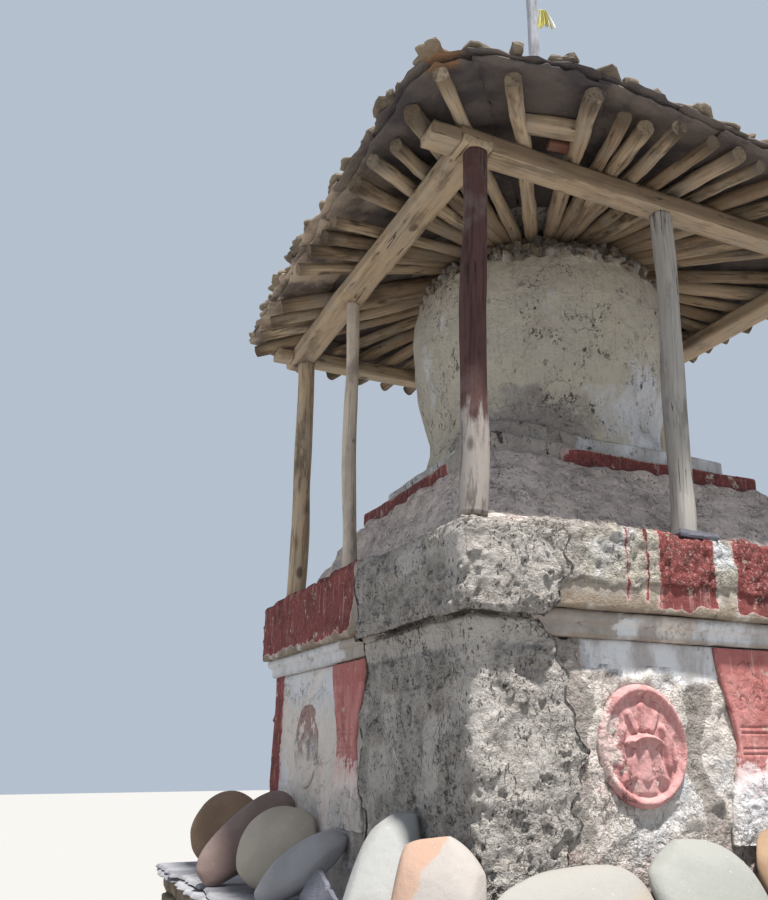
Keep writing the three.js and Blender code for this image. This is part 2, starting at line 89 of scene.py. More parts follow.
def lightStudio():
    scene.view_settings.view_transform = "Standard"
    sun = bpy.data.lights.new("sun", "SUN")
    sun.energy = light["sunStrength"]
    sun.angle = math.radians(light["sunSoftness"])
    sun.color = light["sunColor"]
    lamp = bpy.data.objects.new("sun", sun)
    lamp.rotation_mode = "QUATERNION"
    lamp.rotation_quaternion = Vector(light["towardsSun"]).to_track_quat("Z", "Y")
    scene.collection.objects.link(lamp)
    world = bpy.data.worlds.new("studio")
    world.use_nodes = True
    sky = world.node_tree.nodes["Background"]
    sky.inputs["Color"].default_value = (*light["skyColor"], 1)
    sky.inputs["Strength"].default_value = light["skyStrength"]
    scene.world = world
    half = light["floorSize"] / 2
    corners = [(-half, -half, 0), (half, -half, 0), (half, half, 0), (-half, half, 0)]
    mesh = makeMesh("floor", corners, [(0, 1, 2, 3)], smooth=False)
    floor = bpy.data.objects.new("floor", mesh)
    pale = bpy.data.materials.new("paleFloor")
    pale.use_nodes = True
    surface = pale.node_tree.nodes["Principled BSDF"].inputs
    surface["Base Color"].default_value = light["floorColor"]
    surface["Roughness"].default_value = light["floorRoughness"]
    mesh.materials.append(pale)
    scene.collection.objects.link(floor)


# Random fields and meshes

def tone(red, green, blue):  # display values from 0 to 255
    parts = [value / 255 for value in (red, green, blue)]
    linear = [part / 12.92 if part <= 0.04045 else ((part + 0.055) / 1.055) ** 2.4 for part in parts]
    return (*linear, 1.0)


def lumps(points, size, seed=0):  # a smooth field from -1 to 1 with features of that size
    cell = np.asarray(points) / size
    low = np.floor(cell).astype(np.int64)
    part = cell - low
    part = part * part * (3 - 2 * part)
    total = np.zeros(cell.shape[:-1])
    for corner in np.ndindex(2, 2, 2):
        at = low + np.array(corner)
        mixed = (at[..., 0] * 73856093) ^ (at[..., 1] * 19349663) ^ (at[..., 2] * 83492791) ^ (seed * 265443)
        mixed = ((mixed ^ (mixed >> 13)) * 1274126177) & 0xFFFFFFFF
        value = ((mixed ^ (mixed >> 15)) & 0xFFFF) / 32767.5 - 1
        total += value * np.prod(np.where(corner, part, 1 - part), axis=-1)
    return total


def clods(points, size, octaves=3, seed=0):  # several fields, each half the size of the last
    total = sum(lumps(points, size / 2**octave, seed + octave) / 2**octave for octave in range(octaves))
    return total / (2 - 0.5 ** (octaves - 1))


def billows(points, size, octaves=2, seed=0):  # rounded lumps parted by sharp creases, from 0 to 1
    return np.clip(np.abs(clods(points, size, octaves, seed)) * 2.2, 0, 1)


def rise(value, low, high):  # 0 below low, 1 above high, smooth between
    part = np.clip((value - low) / (high - low), 0, 1)
    return part * part * (3 - 2 * part)


def within(value, low, high, soft=0.03):  # 1 between low and high, 0 outside
    return rise(value, low - soft, low + soft) * (1 - rise(value, high - soft, high + soft))


def resampled(corners, step):  # points every step along a line through the corners
    corners = np.array(corners, float)
    lengths = np.linalg.norm(np.diff(corners, axis=0), axis=1)
    along = np.concatenate([[0], np.cumsum(lengths)])
    count = max(2, int(round(along[-1] / step)) + 1)
    places = np.union1d(np.linspace(0, along[-1], count), along)
    places = places[np.concatenate([[True], np.diff(places) > step * 0.2])]
    return np.stack([np.interp(places, along, column) for column in corners.T], axis=1)


def gridFaces(rows, columns):  # four-sided faces between rows of points that close into rings
    index = np.arange(rows * columns).reshape(rows, columns)
    after = np.roll(index, -1, axis=1)
    return np.stack([index[:-1], after[:-1], after[1:], index[1:]], axis=-1).reshape(-1, 4)


def ringNormals(rings):  # the way out at each point
    upwards = np.gradient(rings, axis=0)
    sideways = np.roll(rings, -1, axis=1) - np.roll(rings, 1, axis=1)
    normals = np.cross(sideways, upwards)
    return normals / (np.linalg.norm(normals, axis=2, keepdims=True) + 1e-12)


def closedBody(rings):  # points and faces of a stack of rings, with both ends closed
    rows, columns, _ = rings.shape
    points = np.concatenate([rings.reshape(-1, 3), rings[:1].mean(axis=1), rings[-1:].mean(axis=1)])
    first = [(rows * columns, (at + 1) % columns, at) for at in range(columns)]
    base = (rows - 1) * columns
    last = [(rows * columns + 1, base + at, base + (at + 1) % columns) for at in range(columns)]
    faces = gridFaces(rows, columns).tolist() + first + last
    return points, faces


def spread(values):  # per-point values of rings, with one more for each closing point
    values = np.asarray(values, float)
    flat = values.reshape(-1, *values.shape[2:])
    return np.concatenate([flat, values[:1].mean(axis=1), values[-1:].mean(axis=1)])


def unit(vector):  # the same way, one long
    return vector / np.linalg.norm(vector)


def laid(x, y, z):  # places from their coordinates
    return np.stack(np.broadcast_arrays(x, y, z), axis=-1)


def aside(angle, out, along):  # a place in plan, that far out in a direction and along to its left
    return out * math.cos(angle) - along * math.sin(angle), out * math.sin(angle) + along * math.cos(angle)


def around(count):  # angles, evenly round a circle
    return np.linspace(0, 2 * math.pi, count, endpoint=False)


def roundedSquare(angles, power):  # cosines and sines of a circle that is drawn out towards a square
    cosine, sine = np.cos(angles), np.sin(angles)
    reach = (np.abs(cosine) ** power + np.abs(sine) ** power) ** (-1 / power)
    return reach * cosine, reach * sine


def makeMesh(name, points, faces, attributes=None, smooth=True, edges=()):
    mesh = bpy.data.meshes.new(name)
    mesh.from_pydata(np.asarray(points).tolist(), edges, faces)
    for key, values in (attributes or {}).items():
        kind = "FLOAT_VECTOR" if np.ndim(values) == 2 else "FLOAT"
        field = mesh.attributes.new(key, kind, "POINT")
        field.data.foreach_set("vector" if kind == "FLOAT_VECTOR" else "value", np.ravel(values))
    mesh.polygons.foreach_set("use_smooth", [smooth] * len(mesh.polygons))
    mesh.update()
    return mesh


def joined(bodies):  # several (points, faces, attributes) as one
    points = []
    faces = []
    attributes = {}
    start = 0
    for body in bodies:
        points.append(body[0])
        faces += [[at + start for at in face] for face in body[1]]
        for key, values in body[2].items():
            attributes.setdefault(key, []).append(values)
        start += len(body[0])
    return np.concatenate(points), faces, {key: np.concatenate(values) for key, values in attributes.items()}


def addPiece(name, mesh, material, slot, *nodes):
    piece = bpy.data.objects.new(name, mesh)
    scene.collection.objects.link(piece)
    mesh.materials.clear()
    mesh.materials.append(material)
    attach(piece, "root")
    if nodes:
        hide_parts(*nodes)
    return piece


def bodyPiece(name, body, finish, slot, *nodes, smooth=True):  # body: points, faces and fields
    return addPiece(name, makeMesh(name, *body, smooth=smooth), finishes[finish], slot, *nodes)


# Finishes: a coat is laid over the last one where its mask says

def addNode(tree, kind, inputs=None, **settings):
    made = tree.nodes.new(kind)
    for key, value in settings.items():
        setattr(made, key, value)
    for key, value in (inputs or {}).items():
        if isinstance(value, bpy.types.NodeSocket):
            tree.links.new(value, made.inputs[key])
        else:
            made.inputs[key].default_value = value
    return made


class Finish:
    def __init__(self, name, base, roughness=0.95, specular=0.2, field=None):
        self.material = bpy.data.materials.new(name)
        self.material.use_nodes = True
        self.tree = self.material.node_tree
        self.shader = self.tree.nodes["Principled BSDF"]
        self.shader.inputs["Roughness"].default_value = roughness
        self.shader.inputs["Specular IOR Level"].default_value = specular
        if field:
            self.place = self.add("ShaderNodeAttribute", attribute_name=field).outputs["Vector"]
        else:
            self.place = self.add("ShaderNodeTexCoord").outputs["Object"]
        self.color = self.add("ShaderNodeRGB").outputs[0]
        self.color.default_value = base
        self.relief = None

    def add(self, kind, inputs=None, **settings):
        return addNode(self.tree, kind, inputs, **settings)

    def field(self, name):
        return self.add("ShaderNodeAttribute", attribute_name=name).outputs["Fac"]

    def stretched(self, upright, across=1):  # the place, scaled; below 1 draws a pattern out
        scales = (across, across, upright)
        return self.add("ShaderNodeVectorMath", {0: self.place, 1: scales}, operation="MULTIPLY").outputs[0]

    def noise(self, size, detail=4.0, rough=0.55, place=None, warp=0.0):
        inputs = {"Vector": place or self.place, "Scale": 1 / size, "Detail": detail, "Roughness": rough}
        inputs["Distortion"] = warp
        return self.add("ShaderNodeTexNoise", inputs).outputs[0]

    def cells(self, size, place=None):
        inputs = {"Vector": place or self.place, "Scale": 1 / size}
        return self.add("ShaderNodeTexVoronoi", inputs, feature="F1").outputs["Distance"]

    def fromMiddle(self, value):  # how far a noise lies from its middle value
        return self.maths("ABSOLUTE", self.maths("SUBTRACT", value, 0.5), 0.0)

    def rising(self, value, low, high):
        inputs = {"Value": value, "From Min": low, "From Max": high}
        return self.add("ShaderNodeMapRange", inputs, interpolation_type="SMOOTHSTEP").outputs[0]

    def maths(self, operation, first, second=0.5):
        return self.add("ShaderNodeMath", {0: first, 1: second}, operation=operation).outputs[0]

    def both(self, first, second):
        return self.maths("MULTIPLY", first, second)

    def opposite(self, value):
        return self.maths("SUBTRACT", 1.0, value)

    def cover(self, low, high, *noise):  # 1 where a noise of that size, detail and roughness is high
        return self.rising(self.noise(*noise), low, high)

    def coat(self, color, mask):
        mixed = self.add("ShaderNodeMix", {0: mask, 6: self.color, 7: color}, data_type="RGBA")
        self.color = mixed.outputs[2]

    def shade(self, mask, strength, color=(0, 0, 0, 1)):
        self.coat(color, self.both(mask, strength))

    def dapple(self, color, strength, low, high, *noise):  # a color in patches, where a noise is high
        self.shade(self.cover(low, high, *noise), strength, color)

    def carve(self, value, height):  # metres of relief for a field of 0 to 1
        step = self.both(value, height)
        self.relief = step if self.relief is None else self.maths("ADD", self.relief, step)

    def hairlines(self, size, width, keep, depth, strength, color):  # thin wandering cracks where keep says
        line = self.opposite(self.rising(self.fromMiddle(self.noise(size, 6, 0.62)), 0.0, width))
        line = self.both(line, keep)
        self.shade(line, strength, color)
        self.carve(line, -depth)

    def pits(self, size, keep, depth, strength, color, place=None):  # small holes where keep says, painted dark as the shade inside them
        holes = self.both(self.rising(self.noise(size, 2.0, 0.5, place), 0.60, 0.66), keep)
        self.shade(holes, strength, color)
        self.carve(holes, -depth)

    def flakes(self, size, keep, height, dark):  # broken layers of a coat: steps, hollows and short cracks; the hollows are painted darker as shade
        layers = self.noise(size, 5, 0.58)
        for level in (0.41, 0.49, 0.57):
            self.carve(self.both(self.rising(layers, level, level + 0.012), keep), height)
        # painted shade: the lowest hollows between the layers are darkened
        hollowShade = self.both(self.opposite(self.rising(layers, 0.34, 0.41)), keep)
        self.shade(hollowShade, 0.45, dark)
        cracks = self.rising(self.fromMiddle(self.noise(size * 1.6, 6, 0.6)), 0.0, 0.014)
        cracks = self.both(self.opposite(cracks), self.rising(self.noise(size * 2, 3), 0.48, 0.56))
        self.shade(self.both(cracks, keep), 0.7, dark)
        self.carve(self.both(cracks, keep), -height)

    def done(self):
        self.tree.links.new(self.color, self.shader.inputs["Base Color"])
        if self.relief is not None:
            bump = self.add("ShaderNodeBump", {"Strength": 1.0, "Distance": 1.0, "Height": self.relief})
            self.tree.links.new(bump.outputs[0], self.shader.inputs["Normal"])
        return self.material


tones = {
    "mud": tone(168, 161, 154),
    "mudDark": tone(136, 128, 121),
    # painted shade in the hollows of flaking coats, and the colour of their short cracks
    "shadeAndCracks": tone(92, 84, 78),
    "cream": tone(188, 181, 166),
    "brightCream": tone(216, 207, 199),
    "soil": tone(148, 139, 133),
    "white": tone(205, 206, 209),
    "ochre": tone(140, 127, 112),
    "red": tone(142, 78, 75),
    "redDark": tone(102, 56, 54),
    "rose": tone(192, 146, 144),
    "roseDark": tone(166, 112, 110),
    "paleRed": tone(180, 122, 118),
    "paleRedDark": tone(158, 94, 90),
    "pink": tone(200, 162, 158),
    "crack": tone(60, 54, 49),
}


def limePlaster(name, coverage=0.5, grime=0.3, pitting=0.5, soft=0.05, red="red", cream="cream", chips=0.8):
    # lime on mud; the fields bare, white, ochre, paint and rough say where each shows
    coat = Finish(name, tones["mud"])
    rough = coat.field("rough")
    paint = coat.field("paint")
    coat.dapple(tones["mudDark"], 0.5, 0.47, 0.66, 0.30, 6)
    patches = coat.maths("ADD", coat.noise(0.20, 7, 0.62), coat.both(coat.field("bare"), -0.5))
    lime = coat.rising(patches, 0.52 - coverage * 0.35, 0.52 + soft - coverage * 0.35)
    coat.coat(tones[cream], lime)
    coat.dapple(tones["mud"], 0.75 - 0.65 * coverage, 0.42, 0.64, 0.45, 6, 0.6)
    whiteness = coat.maths("ADD", coat.noise(0.40, 6, 0.6), coat.both(coat.field("white"), 0.4))
    coat.shade(coat.rising(whiteness, 0.60, 0.78), lime, tones["white"])
    coat.dapple(tones["ochre"], grime, 0.52, 0.72, 0.05, 5, 0.6, coat.stretched(0.12))
    coat.dapple(tones["mudDark"], grime, 0.52, 0.70, 0.030, 5, 0.6, coat.stretched(0.15))
    # streaky darkening where its field says: partly dirt, partly painted shade such as the band in the
    # frieze's shadow
    soiledAndShaded = coat.cover(0.40, 0.62, 0.16, 7, 0.66, coat.stretched(0.45))
    coat.shade(coat.both(soiledAndShaded, coat.field("soil")), 0.75, tones["soil"])
    ochre = coat.both(coat.field("ochre"), coat.cover(0.30, 0.55, 0.12, 5))
    coat.coat(tones["ochre"], ochre)
    frayed = coat.both(coat.maths("SUBTRACT", coat.noise(0.05, 6, 0.65), 0.5), 0.9)
    frayed = coat.maths("ADD", paint, frayed)
    painted = coat.rising(frayed, 0.46, 0.54)
    stain = coat.both(coat.rising(frayed, 0.12, 0.46), coat.opposite(painted))
    coat.shade(stain, 0.6, tones["pink"])
    coat.coat(tones[red], painted)
    dark = tones[red + "Dark"]
    # full paint is laid darker red; on the pilasters' tops this is painted shade under the moulding
    coat.shade(coat.rising(paint, 0.80, 1.0), 0.6, dark)
    drips = coat.noise(0.035, 5, 0.6, coat.stretched(0.10))
    coat.shade(coat.both(painted, coat.rising(drips, 0.50, 0.62)), 0.5, dark)
    coat.shade(coat.both(painted, coat.cover(0.48, 0.60, 0.14, 5)), 0.7, dark)
    flakes = coat.cover(0.54, 0.62, 0.022, 5, 0.7)
    coat.shade(coat.both(coat.both(painted, flakes), rough), 0.6, tones["pink"])
    washed = coat.cover(0.54, 0.68, 0.035, 5, 0.65, coat.stretched(0.13))
    washed = coat.both(coat.both(painted, washed), coat.opposite(rough))
    coat.shade(washed, 0.6, tones["pink"])
    worn = coat.both(painted, coat.cover(0.60, 0.65, 0.09, 6, 0.68))
    coat.shade(worn, chips, tones["cream"])
    coat.flakes(0.100, rough, 0.0090, tones["shadeAndCracks"])
    some = coat.cover(0.52, 0.60, 0.35, 3)
    coat.hairlines(0.30, 0.007, some, 0.004, 0.75, tones["crack"])
    gathered = coat.both(coat.cover(0.46, 0.58, 0.12, 3), coat.cover(0.40, 0.58, 0.55, 3))
    gathered = coat.both(gathered, pitting)
    upright = coat.stretched(0.6)
    # small holes, painted dark as shade
    coat.pits(0.030, gathered, 0.009, 0.9, tones["crack"], upright)
    coat.pits(0.012, gathered, 0.004, 0.8, tones["crack"], upright)
    coat.carve(coat.both(coat.noise(0.040, 5, 0.60), rough), 0.060)
    grainy = coat.maths("ADD", coat.both(rough, 0.9), 0.12)
    coat.carve(coat.both(coat.noise(0.012, 4, 0.65), grainy), 0.011)
    coat.carve(coat.noise(0.06, 5, 0.55), 0.010)
    coat.carve(lime, 0.0015)
    return coat.done()


def strawMud(name, light=tone(180, 174, 168), dark=tone(148, 141, 135), pitting=0.8):
    # the field rough is 0 on trowelled patches and 1 on crumbling ones, and seam marks the crack under the
    # frieze's bulge, painted dark both as a crack and as the shade beneath the bulge
    coat = Finish(name, light)
    rough = coat.maths("ADD", coat.both(coat.field("rough"), 0.8), 0.2)
    coat.dapple(dark, 0.7, 0.46, 0.66, 0.14, 7, 0.65)
    coat.dapple(tone(196, 190, 183), 0.5, 0.54, 0.66, 0.05, 6, 0.7)
    coat.dapple(tone(196, 186, 164), 0.5, 0.64, 0.70, 0.010, 2, 0.5, coat.stretched(0.25), 1.5)
    coat.flakes(0.100, rough, 0.0100, tones["shadeAndCracks"])
    coat.hairlines(0.26, 0.007, coat.cover(0.5, 0.6, 0.4, 3), 0.006, 0.85, tone(50, 45, 41))
    gathered = coat.both(coat.cover(0.42, 0.54, 0.12, 3), pitting)
    upright = coat.stretched(0.55)
    # small holes, painted dark as shade
    coat.pits(0.009, gathered, 0.004, 0.75, tone(72, 66, 61), upright)
    coat.pits(0.018, gathered, 0.007, 0.8, tone(66, 60, 55), upright)
    # the crack under the bulge, painted dark as a crack and as shade
    coat.shade(coat.field("seam"), 0.9, tone(50, 45, 41))
    coat.carve(coat.both(coat.noise(0.035, 5, 0.60), rough), 0.060)
    coat.carve(coat.both(coat.noise(0.012, 4, 0.65), rough), 0.012)
    coat.carve(coat.noise(0.007, 4, 0.65), 0.005)
    return coat.done()


def agedTimber(name, light, dark, crack=tone(46, 37, 30), foot=None, grey=0.4, stains=0.45):
    coat = Finish(name, light, 0.85, field="grain")
    coat.shade(coat.maths("FRACT", coat.both(coat.field("seed"), 0.37)), 0.8, dark)
    wood = coat.noise(0.020, 6, 0.6, coat.stretched(0.05))
    coat.shade(coat.rising(wood, 0.46, 0.72), 0.8, dark)
    fibre = coat.noise(0.004, 3, 0.5, coat.stretched(0.03))
    coat.shade(coat.rising(fibre, 0.5, 0.75), 0.35, dark)
    coat.dapple(tone(150, 146, 138), grey, 0.45, 0.65, 0.25, 4)
    coat.dapple(crack, stains, 0.50, 0.64, 0.16, 6, 0.64, coat.stretched(0.3))
    coat.shade(coat.rising(coat.field("share"), 0.90, 1.0), 0.55, crack)
    # painted shade: darker towards the rafters' inner ends, deep under the roof
    coat.shade(coat.field("innerShade"), 0.6, dark)
    # a second tone where the field foot says: on the near post a pale foot, partly weathered wood and partly
    # painted sunlight; on the front beam's outer face, painted shade under the overhang
    if foot:
        frayed = coat.noise(0.06, 6, 0.65, coat.stretched(0.3))
        frayed = coat.both(coat.maths("SUBTRACT", frayed, 0.5), 1.3)
        low = coat.maths("ADD", coat.field("foot"), frayed)
        pale = coat.rising(low, 0.36, 0.62)
        coat.shade(pale, 0.9, foot)
        mottle = coat.cover(0.50, 0.64, 0.030, 6, 0.72, coat.stretched(0.16))
        coat.shade(coat.both(pale, mottle), 0.6, dark)
    splitLine = coat.fromMiddle(coat.noise(0.045, 3, 0.5, coat.stretched(0.035)))
    split = coat.opposite(coat.rising(splitLine, 0.002, 0.010))
    split = coat.both(split, coat.cover(0.53, 0.60, 0.3, 3))
    coat.shade(split, 0.8, crack)
    knot = coat.opposite(coat.rising(coat.cells(0.24, coat.stretched(0.55)), 0.06, 0.14))
    coat.shade(knot, 0.7, crack)
    coat.carve(wood, 0.005)
    coat.carve(fibre, 0.002)
    coat.carve(split, -0.009)
    return coat.done()


def splitSlate(name, light, dark, dust=0.5, rust=0.6, slabs=False):
    # the field slab gives each slab its own depth of tone, and lichen says where it is orange
    coat = Finish(name, light, 0.9)
    coat.dapple(dark, 0.8, 0.42, 0.64, 0.30, 6, 0.6)
    coat.dapple(tone(128, 110, 90), rust, 0.5, 0.7, 0.18, 5)
    coat.dapple(tone(170, 162, 150), dust, 0.56, 0.70, 0.08, 7, 0.7)
    if slabs:
        # the slab field: each slab's depth of tone, with the roof's inner courses darker as painted shade
        coat.shade(coat.field("slab"), 0.85, dark)
        ragged = coat.maths("SUBTRACT", coat.noise(0.09, 6, 0.65), 0.5)
        spots = coat.maths("ADD", coat.field("lichen"), ragged)
        coat.shade(coat.rising(spots, 0.45, 0.80), 0.65, tone(148, 108, 72))
    coat.carve(coat.noise(0.012, 3, 0.5, coat.stretched(4, 0.25)), 0.004)
    coat.carve(coat.noise(0.07, 6, 0.62), 0.014)
    coat.carve(coat.noise(0.012, 4, 0.65), 0.004)
    return coat.done()


def riverStone(name, body, veil, veilAmount=0.5):
    coat = Finish(name, body, 0.75, 0.3)
    coat.dapple(veil, veilAmount, 0.42, 0.58, 0.30, 5, 0.5)
    coat.coat(veil, coat.field("veil"))
    coat.dapple(tone(96, 90, 84), 0.2, 0.58, 0.7, 0.006, 3, 0.6)
    coat.dapple(tone(196, 192, 184), 0.35, 0.62, 0.7, 0.03, 6, 0.7)
    coat.carve(coat.noise(0.05, 4, 0.5), 0.005)
    coat.carve(coat.noise(0.006, 4, 0.6), 0.0012)
    return coat.done()


def cottonRag(name):
    coat = Finish(name, tone(202, 194, 118), 0.9)
    coat.coat(tone(224, 221, 204), coat.cover(0.45, 0.55, 0.12, 4))
    coat.dapple(tone(120, 110, 80), 0.25, 0.55, 0.75, 0.03, 5)
    coat.carve(coat.noise(0.0016, 2, 0.5), 0.0004)
    return coat.done()


print("finishes")
finishes = {
    "wall": limePlaster("wallPlaster", 0.80, 0.18, 0.35, cream="brightCream"),
    "frieze": limePlaster("friezePlaster", 0.60, 0.25, 0.4),
    "medallion": limePlaster(
        "medallionPlaster", 0.95, 0.08, 0.15, red="rose", cream="brightCream", chips=0.3,
    ),
    "relief": limePlaster("reliefPlaster", 0.95, 0.08, 0.20, red="paleRed", cream="brightCream", chips=0.5),
    "upper": limePlaster("upperPlaster", 0.45, 0.28, 1.0, soft=0.14),
    "mud": strawMud("strawMud"),
    # paler than the mud finish: partly the bank's own colour, partly painted light for the shaded bank
    "bank": strawMud("bankMud", tone(226, 211, 203), tone(180, 167, 160), 0.6),
    "timber": agedTimber("weatheredTimber", tone(190, 169, 142), tone(104, 84, 64), stains=0.6),
    # its foot tone is painted shade on the front beam's outer face
    "beamTimber": agedTimber("beamTimber", tone(176, 156, 131), tone(136, 116, 93), foot=tone(118, 102, 85)),
    "greyTimber": agedTimber("greyTimber", tone(200, 186, 170), tone(154, 141, 128), grey=0.4),
    # its pale foot tone: partly weathering, partly painted sunlight
    "darkTimber": agedTimber(
        "darkTimber", tone(86, 61, 59), tone(48, 35, 35), foot=tone(156, 148, 142), grey=0.25, stains=0.6,
    ),
    "coolTimber": agedTimber("coolTimber", tone(166, 161, 155), tone(126, 121, 115), grey=0.3),
    "redTimber": agedTimber("redTimber", tone(116, 74, 60), tone(84, 56, 46), grey=0.2),
    # bluish: partly weathered grey wood, partly painted blue skylight
    "mast": agedTimber("mastTimber", tone(188, 191, 203), tone(148, 149, 156)),
    "slate": splitSlate("roofSlate", tone(176, 159, 142), tone(64, 61, 66), 0.35, 0.4, slabs=True),
    # pale: partly the slate's own colour, partly painted sunlight on the coping
    "coping": splitSlate("copingSlate", tone(178, 177, 179), tone(112, 112, 119), 0.3, 0.15, slabs=True),
    "darkSlate": splitSlate("darkSlate", tone(108, 109, 118), tone(80, 81, 90), 0.15, 0.0),
    "rubble": splitSlate("rubbleStone", tone(134, 122, 106), tone(88, 79, 71), 0.25),
    "rag": cottonRag("cottonRag"),
}


# Geometry Nodes that lay stones and run poles

class Growth:
    def __init__(self, name, sockets):
        self.tree = bpy.data.node_groups.new(name, "GeometryNodeTree")
        for label, kind, value in sockets:
            socket = self.tree.interface.new_socket(label, in_out="INPUT", socket_type="NodeSocket" + kind)
            if value is not None:
                socket.default_value = value
        self.tree.interface.new_socket("Geometry", in_out="OUTPUT", socket_type="NodeSocketGeometry")
        self.given = self.tree.nodes.new("NodeGroupInput").outputs
        self.result = self.tree.nodes.new("NodeGroupOutput").inputs[0]

    def add(self, kind, inputs=None, output=0, **settings):
        return addNode(self.tree, kind, inputs, **settings).outputs[output]

    def named(self, name, kind="FLOAT"):
        return self.add("GeometryNodeInputNamedAttribute", {"Name": name}, "Attribute", data_type=kind)

    def store(self, geometry, name, value, kind="FLOAT"):
        inputs = {"Geometry": geometry, "Name": name, "Value": value}
        return self.add("GeometryNodeStoreNamedAttribute", inputs, data_type=kind, domain="POINT")

    def scalar(self, operation, first, second):
        return self.add("ShaderNodeMath", {0: first, 1: second}, operation=operation)

    def vector(self, operation, first, second):
        key = "Scale" if operation == "SCALE" else 1
        return self.add("ShaderNodeVectorMath", {0: first, key: second}, operation=operation)

    def noise(self, place, scale, detail=2.0, output=0):
        return self.add("ShaderNodeTexNoise", {"Vector": place, "Scale": scale, "Detail": detail}, output)

    def mapped(self, value, low, high, side="To"):  # to, or from, the range between low and high
        return self.add("ShaderNodeMapRange", {"Value": value, side + " Min": low, side + " Max": high})

    def cloud(self, place, scale, detail=2.0):  # a random push in each direction, from -0.5 to 0.5
        return self.vector("SUBTRACT", self.noise(place, scale, detail, 1), (0.5, 0.5, 0.5))

    def squared(self, place, squareness):  # pulls a place towards a rounded cube, or a square if it is flat
        parts = {0: self.vector("ABSOLUTE", place, (0, 0, 0))}
        total = 0.0
        for part in addNode(self.tree, "ShaderNodeSeparateXYZ", parts).outputs:
            total = self.scalar("ADD", self.scalar("POWER", part, squareness), total)
        shrink = self.scalar("POWER", total, self.scalar("DIVIDE", -1.0, squareness))
        return self.vector("SCALE", place, shrink)

    def moved(self, geometry, value, way="Offset"):
        return self.add("GeometryNodeSetPosition", {"Geometry": geometry, way: value})

    def done(self, geometry, material, smooth=True):
        soft = self.add("GeometryNodeSetShadeSmooth", {"Geometry": geometry, "Shade Smooth": smooth})
        coated = self.add("GeometryNodeSetMaterial", {"Geometry": soft, "Material": material})
        self.tree.links.new(coated, self.result)
        return self.tree


def laidStonesTree():
    stones = Growth("laidStones", [
        ("Places", "Geometry", None), ("Facets", "Int", 5), ("Squareness", "Float", 4.0),
        ("Warp", "Float", 0.03), ("Warp Size", "Float", 0.15), ("Warp Axes", "Vector", (1, 1, 1)),
        ("Chipping", "Float", 0.006), ("Smooth", "Bool", True), ("Stone", "Material", None),
    ])
    given = stones.given
    counts = {f"Vertices {axis}": given["Facets"] for axis in "XYZ"}
    cube = stones.add("GeometryNodeMeshCube", {"Size": (2, 2, 2), **counts}, "Mesh")
    place = stones.add("GeometryNodeInputPosition")
    rounded = stones.moved(cube, stones.squared(place, given["Squareness"]), "Position")
    laid = stones.add("GeometryNodeInstanceOnPoints", {
        "Points": given["Places"], "Instance": rounded, "Scale": stones.named("halfSize", "FLOAT_VECTOR"),
        "Rotation": stones.add("FunctionNodeEulerToRotation", {0: stones.named("turn", "FLOAT_VECTOR")}),
    })
    real = stones.add("GeometryNodeRealizeInstances", {"Geometry": laid})
    push = stones.cloud(place, stones.scalar("DIVIDE", 1.0, given["Warp Size"]))
    push = stones.vector("SCALE", stones.vector("MULTIPLY", push, given["Warp Axes"]), given["Warp"])
    chips = stones.vector("SCALE", stones.cloud(place, 28.0, 3.0), given["Chipping"])
    chipped = stones.moved(stones.moved(real, push), chips)
    return stones.done(chipped, given["Stone"], given["Smooth"])


